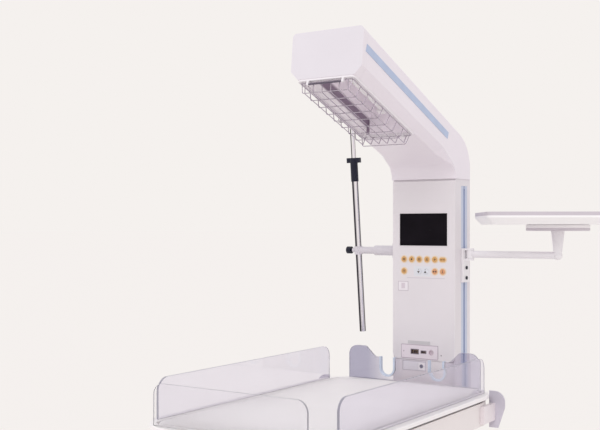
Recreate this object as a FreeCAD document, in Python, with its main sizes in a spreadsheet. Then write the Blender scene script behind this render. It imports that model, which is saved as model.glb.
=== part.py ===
import FreeCAD, Part
import math
import os
import re
import types
import Sketcher

# An open-care infant warmer: a slim column on a wheeled base carries a heated hood
# above a tilting bed with clear panels, a drip pole and a swivel tray.
# Millimetres, +Z up, -Y towards the foot of the bed. The origin is on the floor
# under the middle of the whole object. All sizes are measured from the column's
# own middle plane, which stands at x = centre_x and y = centre_y.

Vector = FreeCAD.Vector

SIZES = {
    # where the column's middle plane stands, and the fits
    "centre_x": -140.0,
    "centre_y": -71.0,
    "seat": 0.3,
    "fit": 0.2,
    "run": 0.05,
    "key_fit": 0.15,
    # casters
    "wheel_r": 50.0,
    "wheel_half": 11.0,
    "wheel_trail": 32.0,
    "wheel_round": 4.0,
    "wheel_clear": 4.0,
    "tread": 15.0,
    "hub_r": 12.0,
    "dish": 3.0,
    "axle_r": 5.0,
    "axle_cover": 10.0,
    "stem_r": 8.0,
    "fork_thick": 5.5,
    "cheek": 4.5,
    "cheek_fit": 3.5,
    "fork_nose": 22.0,
    "swivel_gap": 1.5,
    "pedal_pin_r": 2.0,
    "pedal_wall": 1.8,
    "pedal_long": 35.0,
    "pedal_fit": 0.5,
    # wheeled base
    "leg_x": 270.0,
    "leg_wide": 60.0,
    "leg_tall": 40.0,
    "leg_long": 935.0,
    "leg_wall": 3.0,
    "leg_behind": 13.0,
    "cross_wide": 68.0,
    "socket_wall": 5.0,
    "caster_inset": 40.0,
    "cover_side": 50.5,
    "cover_ahead": 22.0,
    "cover_behind": 11.0,
    "cover_skirt": 11.0,
    "cover_tall": 54.0,
    "cover_wall": 3.0,
    "cover_round": 14.0,
    "cover_edge": 7.0,
    # column
    "col_x": 99.5,
    "col_front": 410.0,
    "col_deep": 108.0,
    "col_top": 1538.0,
    "col_round": 6.0,
    "col_wall": 4.0,
    "col_step": 6.0,
    "groove_wide": 42.0,
    "groove_back": 24.0,
    "groove_deep": 5.5,
    "groove_end": 19.0,
    "core_wide": 12.0,
    "core_deep": 2.5,
    "core_end": 9.0,
    "back_inset": 15.5,
    "back_end": 35.0,
    "back_thick": 9.0,
    "back_round": 7.0,
    "back_edge": 2.4,
    "vent_x": 46.0,
    "vent_down": 205.0,
    "vent_pitch": 16.0,
    "vent_tall": 5.0,
    "vent_deep": 4.0,
    "seam_wide": 0.8,
    "seam_deep": 0.8,
    # control panel on the column
    "bezel_gap": 4.0,
    "bezel_tall": 519.0,
    "bezel_round": 18.0,
    "bezel_edge": 2.5,
    "screen_x": 75.5,
    "screen_down": 94.0,
    "screen_tall": 93.0,
    "screen_deep": 4.4,
    "screen_set": 0.8,
    "border": 3.2,
    "border_proud": 1.0,
    "key_r": 9.15,
    "key_pitch": 24.6,
    "key_arrow": -14.8,
    "arrow_pitch": 21.5,
    "key_down_a": 39.6,
    "key_rows": 34.4,
    "key_proud": 1.3,
    "key_travel": 0.8,
    "key_edge": 0.6,
    "bar_half": 11.0,
    "bar_tall": 7.0,
    "bar_round": 6.4,
    "label_left": -81.0,
    "label_wide": 33.0,
    "label_down": 30.0,
    "label_tall": 28.0,
    "label_proud": 0.5,
    "arch_left": -49.0,
    "arch_wide": 71.0,
    "arch_gap": 1.5,
    "arch_tall": 9.5,
    "plate_left": -71.0,
    "plate_wide": 118.0,
    "plate_up": 4.5,
    "plate_tall": 40.5,
    "plate_deep": 2.2,
    "plate_proud": 0.7,
    "plate_round": 3.0,
    "block_side": 25.0,
    "block_end": 9.0,
    "block_edge": 4.5,
    "port_edge": 6.0,
    "port_gap": 6.0,
    "port_a_wide": 26.0,
    "port_a_tall": 15.0,
    "port_b_wide": 18.0,
    "port_b_tall": 9.0,
    "port_c_r": 8.0,
    "port_c_in": 13.0,
    "port_wall": 2.0,
    "port_deep": 3.5,
    "port_proud": 0.4,
    "screw_in": 7.0,
    "screw_up": 6.0,
    "screw_r": 2.6,
    "screw_proud": 0.9,
    "door_left": -65.0,
    "door_wide": 74.6,
    "door_tall": 27.5,
    "door_gap": 2.5,
    "door_thick": 2.8,
    "door_back": 0.4,
    "door_pin_r": 0.8,
    "door_pin_in": 1.6,
    "lock_in": 14.2,
    "lock_r": 5.4,
    "lock_proud": 1.6,
    "lock_slot": 1.2,
    # hood
    "hood_x": 102.0,
    "hood_reach": 532.0,
    "hood_rise": 227.0,
    "hood_tilt": 20.2,
    "crown_back": 12.0,
    "crown_rise": 117.0,
    "crown_tilt": 21.0,
    "neck_round": 40.0,
    "nape_round": 111.0,
    "hood_wall": 3.0,
    "hood_cut": 20.5,
    "cut_end": 470.0,
    "cut_fade": 90.0,
    "crown_round": 11.0,
    "cap_long": 21.0,
    "stripe_start": 22.5,
    "stripe_up": 64.5,
    "stripe_tilt": 20.9,
    "stripe_long": 489.0,
    "stripe_half": 9.6,
    "stripe_thick": 0.8,
    # heater, measured from the hood's front lower edge along its underside
    "frame_start": 1.0,
    "frame_long": 337.0,
    "frame_thick": 5.0,
    "frame_bar": 12.0,
    "frame_round": 8.0,
    "frame_lap": 9.0,
    "trough_top": 34.0,
    "trough_tall": 78.0,
    "trough_slope": 24.0,
    "trough_wall": 1.5,
    "rod_r": 7.0,
    "rod_down": 24.0,
    "rod_end": 8.0,
    "holder_half": 11.0,
    "holder_long": 16.0,
    # wire guard
    "wire_r": 1.1,
    "guard_inset": 7.0,
    "guard_gap": 1.5,
    "guard_deep": 26.0,
    "guard_slope": 7.0,
    "guard_count": 9,
    "guard_bend": 6.0,
    "guard_lines": 6,
    "guard_line_inset": 12.0,
    "eye_inset": 24.0,
    "eye_half": 5.0,
    "eye_wall": 2.7,
    "clip_inset": 24.0,
    "clip_half": 3.0,
    "clip_deep": 11.0,
    "bar_r": 2.2,
    # bed
    "deck_x": 263.0,
    "deck_top": 962.0,
    "deck_thick": 10.0,
    "deck_long": 885.0,
    "deck_behind": 55.0,
    "deck_round": 115.0,
    "deck_edge": 3.0,
    "deck_gap": 8.0,
    "base_tall": 59.5,
    "base_inset": 8.0,
    "base_end": 10.0,
    "base_wall": 5.0,
    "arm_x": 78.0,
    "arm_long": 571.0,
    "arm_tall": 92.0,
    "arm_wall": 5.0,
    "flange_lap": 14.0,
    "flange_drop": 30.0,
    "flange_thick": 9.0,
    "pan_inset": 8.0,
    "pan_end": 31.0,
    "pan_deep": 16.0,
    "pan_skin": 3.0,
    "mat_inset": 7.0,
    "mat_end": 7.0,
    "mat_proud": 4.0,
    "mat_fit": 1.2,
    "mat_round": 30.0,
    "mat_edge": 3.5,
    "hinge_in": 13.5,
    "hinge_pin": 1.6,
    "hinge_clear": 0.4,
    "leaf_half": 2.0,
    "knuckle_in": 60.0,
    "knuckle_long": 35.0,
    "post_in": 29.0,
    "post_end": 130.0,
    "post_r": 9.0,
    "cassette_inset": 57.0,
    "cassette_end": 95.0,
    "cassette_front": 50.0,
    "cassette_thick": 3.0,
    "cassette_edge": 6.0,
    "runner_half": 10.0,
    "runner_tall": 30.0,
    "runner_short": 30.0,
    "mouth_under": 1.5,
    "mouth_tall": 17.0,
    "mouth_side": 5.0,
    "tongue_side": 8.0,
    "tongue_out": 2.0,
    "pull_x": 70.0,
    "pull_out": 9.0,
    "pull_tall": 7.0,
    # clear panels
    "side_inset": 23.0,
    "side_end": 75.0,
    "side_round": 30.0,
    "panel_thick": 6.0,
    "panel_deep": 7.0,
    "panel_tall": 94.0,
    "head_end": 17.0,
    "foot_end": 20.0,
    "end_short": 37.0,
    "end_round": 26.0,
    "ear_wide": 56.0,
    "ear_slope": 30.0,
    "ear_curve": 14.0,
    "dip_deep": 29.0,
    "notch_x": 77.0,
    "notch_half": 25.0,
    "notch_up": 10.0,
    "tube_wall": 5.5,
    "tube_proud": 2.0,
    "tube_rise": 1.5,
    # corner grips
    "grip_thick": 5.0,
    "grip_wide": 43.0,
    "grip_lap": 6.0,
    "grip_end": 43.0,
    "grip_rise": 24.0,
    "grip_round": 28.0,
    "grip_head": 42.0,
    "grip_taper": 18.5,
    "grip_drop": 13.0,
    "stub_wide": 11.0,
    "stub_long": 80.0,
    "stub_inset": 7.5,
    # drip pole on the left
    "iv_down": 208.0,
    "iv_clamp_half": 22.0,
    "iv_clamp_deep": 22.5,
    "iv_arm_r": 15.0,
    "iv_arm_long": 70.0,
    "iv_bar_r": 10.8,
    "iv_bar_long": 60.0,
    "pole_lean": 6.0,
    "pole_r": 9.5,
    "pole_below": 253.0,
    "pole_above": 246.0,
    "pole_end": 6.0,
    "ring_wall": 3.0,
    "ring_half": 12.5,
    "iv_screw_r": 3.0,
    "boss_wall": 3.5,
    "boss_long": 20.0,
    "screw_tip": 1.5,
    "knob_gap": 4.0,
    "knob_long": 15.0,
    "knob_r": 11.0,
    "rod_thin": 7.0,
    "rod_inside": 206.0,
    "rod_above": 156.0,
    "hook_r": 2.5,
    "hook_reach": 44.0,
    "hook_lift": 20.0,
    "hook_down": 6.0,
    "collar_below": 34.0,
    "collar_above": 38.0,
    "collar_wall": 1.9,
    "wing_half": 22.0,
    "wing_thick": 12.0,
    "wing_tall": 15.0,
    # swivel tray on the right
    "mount_down": 198.5,
    "mount_tall": 97.5,
    "mount_deep": 6.0,
    "mount_half": 21.0,
    "arm_down": 16.5,
    "swing_out": 12.5,
    "swing_pin": 5.0,
    "swing_r": 11.5,
    "swing_below": 12.5,
    "swing_above": 11.0,
    "swing_fit": 0.5,
    "lug_thick": 5.5,
    "tray_arm_r": 10.0,
    "tray_arm_long": 256.7,
    "post_foot_r": 10.5,
    "post_head_r": 18.0,
    "post_tall": 67.0,
    "elbow_r": 12.5,
    "pivot_r": 8.0,
    "pivot_tall": 14.0,
    "disc_r": 85.0,
    "disc_tall": 17.0,
    "disc_round": 3.0,
    "tray_x": 187.0,
    "tray_y": 140.0,
    "tray_shift": -22.0,
    "tray_turn": 30.5,
    "tray_tall": 33.0,
    "tray_round": 24.0,
    "tray_taper": 18.0,
    "tray_rim": 5.0,
    "tray_well": 24.0,
    "tray_shelf": 19.0,
    "tray_skin": 4.5,
    "bolt_up": 12.6,
    "bolt_pitch": 29.1,
    "bolt_r": 5.0,
    "bolt_tall": 3.2,
}

s = types.SimpleNamespace(**SIZES)

# levels and places that follow from the sizes above

s.wheel_top = 2 * s.wheel_r
s.fork_half = s.wheel_half + s.cheek_fit + s.cheek
s.fork_gap = s.wheel_half + s.cheek_fit
s.fork_under = s.wheel_top + s.wheel_clear
s.fork_top = s.fork_under + s.fork_thick
s.fork_low = s.wheel_r - s.axle_cover
s.fork_tail = -s.wheel_trail - s.fork_nose
s.pedal_pin_y = s.fork_tail - s.axle_r
s.pedal_pin_z = s.fork_under + s.pedal_wall
s.lug_end = s.pedal_pin_y - s.pedal_pin_r - s.pedal_wall
s.pedal_end = s.pedal_pin_y - s.pedal_long
s.pedal_half = s.fork_gap - s.pedal_fit

s.leg_low = s.fork_top + s.swivel_gap
s.leg_top = s.leg_low + s.leg_tall
s.col_rear = s.col_front + s.col_deep
s.leg_rear = s.col_rear - s.leg_behind
s.leg_front = s.leg_rear - s.leg_long
s.cross_front = (s.col_front + s.col_rear - s.cross_wide) / 2
s.cross_rear = s.cross_front + s.cross_wide
s.caster_front = s.leg_front + s.caster_inset
s.caster_rear = s.leg_rear - s.caster_inset
s.socket_r = s.stem_r + s.socket_wall
s.cover_x = s.col_x + s.cover_side
s.cover_front = s.col_front - s.cover_ahead
s.cover_rear = s.col_rear + s.cover_behind
s.cover_low = s.leg_low - s.cover_skirt
s.cover_top = s.leg_top + s.cover_tall

s.hollow_x = s.col_x - s.groove_deep - s.col_wall
s.hollow_front = s.col_front + s.col_step + s.col_wall
s.groove_rear = s.col_rear - s.groove_back
s.groove_front = s.groove_rear - s.groove_wide
s.groove_low = s.cover_top + s.groove_end
s.groove_top = s.col_top - s.groove_end
s.rail_y = (s.groove_front + s.groove_rear) / 2
s.core_front = s.rail_y - s.core_wide / 2
s.core_rear = s.rail_y + s.core_wide / 2
s.back_x = s.col_x - s.back_inset
s.back_low = s.cover_top + s.back_end
s.back_top = s.col_top - s.back_end
s.vent_low = s.back_top - s.vent_down

s.bezel_top = s.col_top - s.bezel_gap
s.bezel_low = s.bezel_top - s.bezel_tall
s.screen_top = s.bezel_top - s.screen_down
s.screen_low = s.screen_top - s.screen_tall
s.key_row_a = s.screen_low - s.key_down_a
s.key_row_b = s.key_row_a - s.key_rows
s.key_a1 = -2.5 * s.key_pitch
s.key_a2 = -1.5 * s.key_pitch
s.key_a3 = -0.5 * s.key_pitch
s.key_a4 = 0.5 * s.key_pitch
s.key_a5 = 1.5 * s.key_pitch
s.key_a6 = 2.5 * s.key_pitch
s.key_b2 = s.key_arrow
s.key_b3 = s.key_arrow + s.arrow_pitch
s.key_long = s.key_proud + s.col_step - s.key_travel - s.fit
s.label_right = s.label_left + s.label_wide
s.label_top = s.key_row_b - s.label_down
s.label_low = s.label_top - s.label_tall
s.plate_right = s.plate_left + s.plate_wide
s.plate_low = s.bezel_low + s.plate_up
s.plate_top = s.plate_low + s.plate_tall
s.arch_right = s.arch_left + s.arch_wide
s.arch_low = s.plate_top + s.arch_gap
s.arch_top = s.arch_low + s.arch_tall
s.block_left = s.plate_left + s.block_side
s.block_right = s.plate_right - s.block_end
s.block_low = s.plate_low + s.block_edge
s.block_top = s.plate_top - s.block_edge
s.port_z = (s.block_low + s.block_top) / 2
s.port_a_left = s.block_left + s.port_edge
s.port_a_right = s.port_a_left + s.port_a_wide
s.port_a_low = s.port_z - s.port_a_tall / 2
s.port_a_top = s.port_z + s.port_a_tall / 2
s.port_b_left = s.port_a_right + s.port_gap
s.port_b_right = s.port_b_left + s.port_b_wide
s.port_b_low = s.port_z - s.port_b_tall / 2
s.port_b_top = s.port_z + s.port_b_tall / 2
s.port_c_x = s.block_right - s.port_c_in
s.screw_a = s.plate_left + s.screw_in
s.screw_b = s.plate_right - s.screw_in
s.screw_z = s.plate_low + s.screw_up
s.door_right = s.door_left + s.door_wide
s.door_top = s.bezel_low - s.door_gap
s.door_low = s.door_top - s.door_tall
s.door_deep = s.door_thick + s.door_back
s.door_pin_x = s.door_left + s.door_thick / 2
s.door_pin_y = s.col_front + s.door_thick / 2
s.lock_x = s.door_right - s.lock_in
s.lock_z = (s.door_low + s.door_top) / 2

s.hood_front = s.col_front - s.hood_reach
s.hood_low = s.col_top + s.hood_rise
s.crown_front = s.hood_front + s.crown_back
s.crown_top = s.hood_low + s.crown_rise
s.stripe_y = s.hood_front + s.stripe_start
s.stripe_z = s.hood_low + s.stripe_up
s.frame_x = s.hood_x - s.hood_cut - s.fit
s.mouth_x = s.frame_x - s.frame_lap
s.trough_mouth = s.frame_x - s.frame_bar + s.trough_wall
s.rod_up = s.trough_tall - s.rod_down
s.guard_x = s.frame_x - s.guard_inset
s.guard_front = s.frame_start + s.guard_inset
s.guard_rear = s.frame_start + s.frame_long - s.guard_inset
s.guard_rim = -s.fit - s.frame_thick - s.wire_r - s.guard_gap
s.guard_line_x = s.guard_x - s.guard_line_inset
s.eye_x = s.guard_x - s.eye_inset
s.eye_r = s.wire_r + s.eye_wall
s.clip_x = s.guard_x - s.clip_inset

s.deck_low = s.deck_top - s.deck_thick
s.deck_head = s.col_front - s.deck_behind
s.deck_foot = s.deck_head - s.deck_long
s.base_x = s.deck_x - s.base_inset
s.base_round = s.deck_round - s.base_inset
s.base_head = s.deck_head - s.base_end
s.base_foot = s.deck_foot + s.base_end
s.base_top = s.deck_low - s.deck_gap
s.base_low = s.base_top - s.base_tall
s.arm_front = s.col_front - s.flange_thick - s.arm_long
s.arm_top = s.base_low - s.seat
s.arm_low = s.arm_top - s.arm_tall
s.flange_x = s.arm_x + s.flange_lap
s.flange_low = s.arm_low - s.flange_drop
s.side_x = s.deck_x - s.side_inset
s.pan_x = s.side_x - s.pan_inset
s.pan_round = s.deck_round - s.pan_end
s.pan_head = s.deck_head - s.pan_end
s.pan_foot = s.deck_foot + s.pan_end
s.pan_low = s.deck_low - s.pan_deep
s.pan_floor = s.pan_low + s.pan_skin
s.mat_x = s.pan_x - s.mat_inset
s.mat_head = s.pan_head - s.mat_end
s.mat_foot = s.pan_foot + s.mat_end
s.mat_top = s.deck_top + s.mat_proud
s.hinge_y = s.deck_foot + s.hinge_in
s.hinge_z = (s.base_top + s.deck_low) / 2
s.hinge_r = s.deck_gap / 2 - s.hinge_clear
s.knuckle_mid = s.knuckle_in + s.knuckle_long
s.knuckle_out = s.knuckle_mid + s.knuckle_long
s.post_x = s.base_x - s.post_in
s.post_y = s.base_head - s.post_end
s.cassette_x = s.base_x - s.cassette_inset
s.cassette_head = s.base_head - s.cassette_end
s.cassette_foot = s.base_foot + s.cassette_front
s.runner_in = s.cassette_x - s.runner_half
s.runner_out = s.cassette_x + s.runner_half
s.runner_foot = s.cassette_foot + s.runner_short
s.runner_head = s.cassette_head + s.runner_half
s.runner_top = s.base_low + s.base_wall + s.runner_tall
s.cassette_low = s.runner_top + s.seat
s.slot_x = s.cassette_x + s.mouth_side
s.slot_low = s.cassette_low - s.mouth_under
s.slot_top = s.slot_low + s.mouth_tall
s.tongue_x = s.base_x - s.base_round - s.tongue_side
s.tongue_foot = s.base_foot - s.tongue_out
s.pull_foot = s.base_foot - s.pull_out

s.panel_half = s.panel_thick / 2
s.panel_low = s.deck_top - s.panel_deep
s.panel_top = s.deck_top + s.panel_tall
s.side_head = s.deck_head - s.side_end
s.side_foot = s.deck_foot + s.side_end
s.head_y = s.deck_head - s.head_end
s.foot_y = s.deck_foot + s.foot_end
s.end_x = s.side_x - s.end_short
s.ear_x = s.end_x - s.ear_wide
s.dip_x = s.ear_x - s.ear_slope
s.dip_top = s.panel_top - s.dip_deep
s.notch_low = s.deck_top + s.notch_up
s.grip_in = s.base_x - s.grip_lap
s.grip_out = s.grip_in + s.grip_wide
s.grip_rear = s.base_head - s.grip_end
s.grip_neck = s.grip_out - s.grip_taper
s.grip_low = s.base_low - s.grip_drop
s.grip_top = s.base_top + s.grip_rise
s.grip_shoulder = s.grip_top - s.grip_head
s.stub_in = s.base_x + s.seat
s.stub_out = s.stub_in + s.stub_wide
s.stub_front = s.grip_rear - s.stub_long
s.stub_low = s.base_low + s.stub_inset
s.stub_top = s.base_top - s.stub_inset

s.iv_z = s.col_top - s.iv_down
s.iv_clamp_out = s.col_x + s.iv_clamp_deep
s.iv_arm_end = s.iv_clamp_out + s.iv_arm_long
s.pole_x = s.iv_arm_end + s.iv_bar_long
s.pole_low = -s.pole_below
s.pole_high = s.pole_above
s.pole_bore = s.rod_thin + s.run
s.ring_out = s.pole_r + s.ring_wall
s.knob_in = s.pole_x + s.boss_long + s.knob_gap
s.knob_out = s.knob_in + s.knob_long
s.rod_low = s.pole_high - s.rod_inside
s.rod_high = s.pole_high + s.rod_above
s.hook_up = s.rod_high - s.hook_down
s.collar_low = s.pole_high - s.collar_below
s.collar_high = s.pole_high + s.collar_above
s.collar_r = s.pole_r + s.collar_wall

s.mount_top = s.col_top - s.mount_down
s.mount_low = s.mount_top - s.mount_tall
s.mount_out = s.col_x + s.seat + s.mount_deep
s.arm_z = s.mount_top - s.arm_down
s.swing_x = s.mount_out + s.swing_out
s.swing_low = s.arm_z - s.swing_below
s.swing_top = s.arm_z + s.swing_above
s.post_at = s.swing_x + s.tray_arm_long
s.post_top = s.arm_z + s.post_tall
s.disc_low = s.post_top + s.seat
s.disc_top = s.disc_low + s.disc_tall
s.tray_low = s.disc_top + s.seat
s.tray_top = s.tray_low + s.tray_tall
s.tray_ledge = s.tray_top - s.tray_shelf
s.tray_floor = s.tray_low + s.tray_skin
s.bolt_a = s.mount_low + s.bolt_up
s.bolt_b = s.bolt_a + s.bolt_pitch

os.makedirs("parts", exist_ok=True)
doc = FreeCAD.newDocument("infant_warmer")

# the sheet of sizes

sheet = doc.addObject("Spreadsheet::Sheet", "sizes")
for row, (name, value) in enumerate(vars(s).items(), start=1):
    sheet.set(f"A{row}", name)
    sheet.set(f"B{row}", str(value))
    sheet.setAlias(f"B{row}", name)
doc.recompute()


def linked(formula):
    """Write a formula of size names as an expression on the sheet."""

    def cell(found):
        word = found.group()
        return "sizes." + word if hasattr(s, word) else word

    return re.sub(r"[a-z][a-z0-9_]*", cell, formula)


# helpers for bodies that are sketched and padded

NORMAL = {"XY": Vector(0, 0, 1), "XZ": Vector(0, 1, 0), "YZ": Vector(1, 0, 0)}


def box_loop(x0, x1, y0, y1):
    """The four corners of a rectangle, as formulas."""
    return [(x0, y0), (x1, y0), (x1, y1), (x0, y1)]


def draw(body, label, plane, loops, offset):
    """Sketch closed loops on one of the body's own planes, every point bound to the sheet."""
    sketch = body.newObject("Sketcher::SketchObject", label)
    own = [flat for flat in body.Origin.OriginFeatures if flat.Role == plane + "_Plane"]
    sketch.AttachmentSupport = [(own[0], "")]
    sketch.MapMode = "FlatFace"
    sketch.setExpression("AttachmentOffset.Base.z", linked(offset))
    for number, loop in enumerate(loops):
        first = sketch.GeometryCount
        if loop[0] == "circle":
            start = Part.Circle(Vector(200 * number, 0, 0), Vector(0, 0, 1), 10)
            sketch.addGeometry(start)
            bind(sketch, first, 3, loop[1], loop[2], 200.0 * number, 0.0)
            held = sketch.addConstraint(Sketcher.Constraint("Radius", first, 10.0))
            sketch.setExpression(f"Constraints[{held}]", linked(loop[3]))
            continue
        count = len(loop)
        turn = 2 * math.pi / count
        guess = [
            Vector(200 * number + 50 * math.cos(turn * i), 50 * math.sin(turn * i), 0)
            for i in range(count)
        ]
        for i in range(count):
            sketch.addGeometry(Part.LineSegment(guess[i], guess[(i + 1) % count]))
        for i in range(count):
            meet = (first + i, 2, first + (i + 1) % count, 1)
            sketch.addConstraint(Sketcher.Constraint("Coincident", *meet))
        for i, (across, up) in enumerate(loop):
            bind(sketch, first + i, 1, across, up, guess[i].x, guess[i].y)
    return sketch


def bind(sketch, line, point, across, up, x, y):
    """Hold one sketch point at two formulas."""
    for kind, formula, value in (("DistanceX", across, x), ("DistanceY", up, y)):
        held = sketch.addConstraint(Sketcher.Constraint(kind, -1, 1, line, point, value))
        sketch.setExpression(f"Constraints[{held}]", linked(formula))


def pad(body, plane, loops, low, high):
    """Add the drawn outline between two coordinates on the plane's normal."""
    label = f"{body.Label}_add{len(body.Group)}"
    offset = f"-({high})" if plane == "XZ" else low
    step = body.newObject("PartDesign::Pad", label)
    step.Profile = draw(body, label + "_sketch", plane, loops, offset)
    step.setExpression("Length", linked(f"({high}) - ({low})"))
    doc.recompute()
    return step


def pocket(body, plane, loops, low, high):
    """Remove the drawn outline between two coordinates on the plane's normal."""
    label = f"{body.Label}_cut{len(body.Group)}"
    before = body.Shape.Volume
    offset = f"-({low})" if plane == "XZ" else high
    step = body.newObject("PartDesign::Pocket", label)
    step.Profile = draw(body, label + "_sketch", plane, loops, offset)
    step.setExpression("Length", linked(f"({high}) - ({low})"))
    doc.recompute()
    if body.Shape.Volume >= before - 1e-6:
        raise RuntimeError(f"{label} removes nothing")
    return step


def along(edge, direction):
    """Whether an edge is straight and runs along a direction."""
    if len(edge.Vertexes) < 2 or edge.Curve.TypeId != "Part::GeomLine":
        return False
    run = (edge.Vertexes[1].Point - edge.Vertexes[0].Point).normalize()
    return abs(abs(run.dot(direction)) - 1) < 1e-6


def ease(body, radius, wanted, kind="Fillet"):
    """Round or bevel the edges of the body's tip for which wanted(edge) is true."""
    tip = body.Tip
    names = [f"Edge{i}" for i, edge in enumerate(tip.Shape.Edges, start=1) if wanted(edge)]
    step = body.newObject("PartDesign::" + kind, f"{body.Label}_{kind.lower()}{len(body.Group)}")
    step.Base = (tip, names)
    step.setExpression("Radius" if kind == "Fillet" else "Size", linked(radius))
    doc.recompute()
    return step


def plate(label, plane, loop, low, high, radius=None):
    """A flat body; a radius rounds the corners of its outline."""
    body = doc.addObject("PartDesign::Body", label)
    pad(body, plane, [loop], low, high)
    if radius:
        ease(body, radius, lambda edge: along(edge, NORMAL[plane]))
    return body


# helpers for plain solids


def block(label, x0, x1, y0, y1, z0, z1):
    """A box between six formulas."""
    made = doc.addObject("Part::Box", label)
    for side, low, high in (("Length", x0, x1), ("Width", y0, y1), ("Height", z0, z1)):
        made.setExpression(side, linked(f"({high}) - ({low})"))
    for axis, low in (("x", x0), ("y", y0), ("z", z0)):
        made.setExpression("Placement.Base." + axis, linked(low))
    return made


TURNS = {
    "X": FreeCAD.Rotation(Vector(0, 1, 0), 90),
    "Y": FreeCAD.Rotation(Vector(1, 0, 0), -90),
    "Z": FreeCAD.Rotation(),
}


def rod(label, axis, radius, x, y, z, length, top=None):
    """A cylinder, or a cone if a top radius is given, starting at a point along an axis."""
    made = doc.addObject("Part::Cone" if top else "Part::Cylinder", label)
    made.Placement.Rotation = TURNS[axis]
    made.setExpression("Radius1" if top else "Radius", linked(radius))
    if top:
        made.setExpression("Radius2", linked(top))
    made.setExpression("Height", linked(length))
    for name, formula in (("x", x), ("y", y), ("z", z)):
        made.setExpression("Placement.Base." + name, linked(formula))
    return made


def join(label, *pieces):
    """One object made of several."""
    made = doc.addObject("Part::MultiFuse", label)
    made.Shapes = list(pieces)
    return made


def take(label, base, tool):
    """One object with another taken out of it."""
    made = doc.addObject("Part::Cut", label)
    made.Base = base
    made.Tool = tool
    return made


def solid(label, shape):
    """A shape that was worked out in code from the sizes."""
    made = doc.addObject("Part::Feature", label)
    made.Shape = shape
    return made


NODES = []


def node(made, x="0", y="0", z="0", turn=None):
    """Set a finished sub-part in the frame and keep it for writing."""
    if turn:
        made.Placement.Rotation = turn
    made.setExpression("Placement.Base.x", linked(f"centre_x + ({x})"))
    made.setExpression("Placement.Base.y", linked(f"centre_y + ({y})"))
    made.setExpression("Placement.Base.z", linked(z))
    NODES.append(made)
    return made


# wheeled base

legs = join(
    "base_tubes",
    block("leg_l", "-leg_x-leg_wide/2", "-leg_x+leg_wide/2", "leg_front", "leg_rear", "leg_low", "leg_top"),
    block("leg_r", "leg_x-leg_wide/2", "leg_x+leg_wide/2", "leg_front", "leg_rear", "leg_low", "leg_top"),
    block("cross", "-leg_x", "leg_x", "cross_front", "cross_rear", "leg_low", "leg_top"),
)
hollows = join(
    "base_hollows",
    *[
        block(
            f"leg_hollow_{side}",
            f"{sign}leg_x-leg_wide/2+leg_wall",
            f"{sign}leg_x+leg_wide/2-leg_wall",
            "leg_front+leg_wall",
            "leg_rear-leg_wall",
            "leg_low+leg_wall",
            "leg_top-leg_wall",
        )
        for side, sign in (("l", "-"), ("r", ""))
    ],
    block(
        "cross_hollow",
        "-leg_x+leg_wide/2",
        "leg_x-leg_wide/2",
        "cross_front+leg_wall",
        "cross_rear-leg_wall",
        "leg_low+leg_wall",
        "leg_top-leg_wall",
    ),
)
CORNERS = (
    ("front_left", "-leg_x", "caster_front"),
    ("front_right", "leg_x", "caster_front"),
    ("rear_left", "-leg_x", "caster_rear"),
    ("rear_right", "leg_x", "caster_rear"),
)
sockets = [
    rod(f"socket_{name}", "Z", "socket_r", x, y, "leg_low", "leg_top-leg_low")
    for name, x, y in CORNERS
]
bores = [
    rod(f"stem_bore_{name}", "Z", "stem_r+run", x, y, "leg_low-1", "leg_top-leg_low-leg_wall+1")
    for name, x, y in CORNERS
]
frame_walls = take("base_walls", legs, hollows)
frame_full = join("base_with_sockets", frame_walls, *sockets)
node(take("base_frame", frame_full, join("stem_bores", *bores)))

cover = plate(
    "base_cover",
    "XY",
    box_loop("-cover_x", "cover_x", "cover_front", "cover_rear"),
    "cover_low",
    "cover_top",
    "cover_round",
)
ease(cover, "cover_edge", lambda edge: min(v.Z for v in edge.Vertexes) > s.cover_top - 1e-3)
pocket(
    cover,
    "XY",
    [
        box_loop(
            "-cover_x+cover_wall",
            "cover_x-cover_wall",
            "cover_front+cover_wall",
            "cover_rear-cover_wall",
        )
    ],
    "cover_low-1",
    "cover_top-cover_wall",
)
pocket(
    cover,
    "XY",
    [box_loop("-col_x-seat", "col_x+seat", "col_front-seat", "col_rear+seat")],
    "cover_low",
    "cover_top+1",
)
pocket(
    cover,
    "YZ",
    [box_loop("cross_front-seat", "cross_rear+seat", "cover_low-1", "leg_top+seat")],
    "-cover_x-1",
    "cover_x+1",
)
node(cover)

# casters


def fork(name, pedal):
    """Wheel fork with its stem and axle, about its own swivel axis."""
    body = doc.addObject("PartDesign::Body", f"fork_body_{name}")
    side = [
        ("fork_nose", "fork_top"),
        ("fork_tail", "fork_top"),
        ("fork_tail", "fork_under-axle_r"),
        ("-wheel_trail-hub_r", "fork_low"),
        ("-wheel_trail+hub_r", "fork_low"),
        ("fork_nose", "fork_under-wheel_clear"),
    ]
    pad(body, "YZ", [side], "-fork_half", "fork_half")
    room = box_loop("fork_tail-1", "fork_nose+1", "fork_low-1", "fork_under")
    pocket(body, "YZ", [room], "-fork_gap", "fork_gap")
    pieces = [
        body,
        rod(f"stem_{name}", "Z", "stem_r", "0", "0", "fork_under+1", "leg_top-leg_wall-fork_under-swivel_gap*2"),
        rod(f"axle_{name}", "X", "axle_r", "-fork_half", "-wheel_trail", "wheel_r", "2*fork_half"),
    ]
    if pedal:
        for side_name, x0, x1 in (("a", "-fork_half", "-fork_gap"), ("b", "fork_gap", "fork_half")):
            lug = (f"lug_{side_name}_{name}", x0, x1, "lug_end", "fork_tail+1", "fork_under-pedal_wall", "fork_top")
            pieces.append(block(*lug))
        pin = (f"pedal_pin_{name}", "X", "pedal_pin_r", "-fork_half+1", "pedal_pin_y", "pedal_pin_z")
        pieces.append(rod(*pin, "2*fork_half-2"))
    return join(f"caster_fork_{name}", *pieces)


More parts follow.
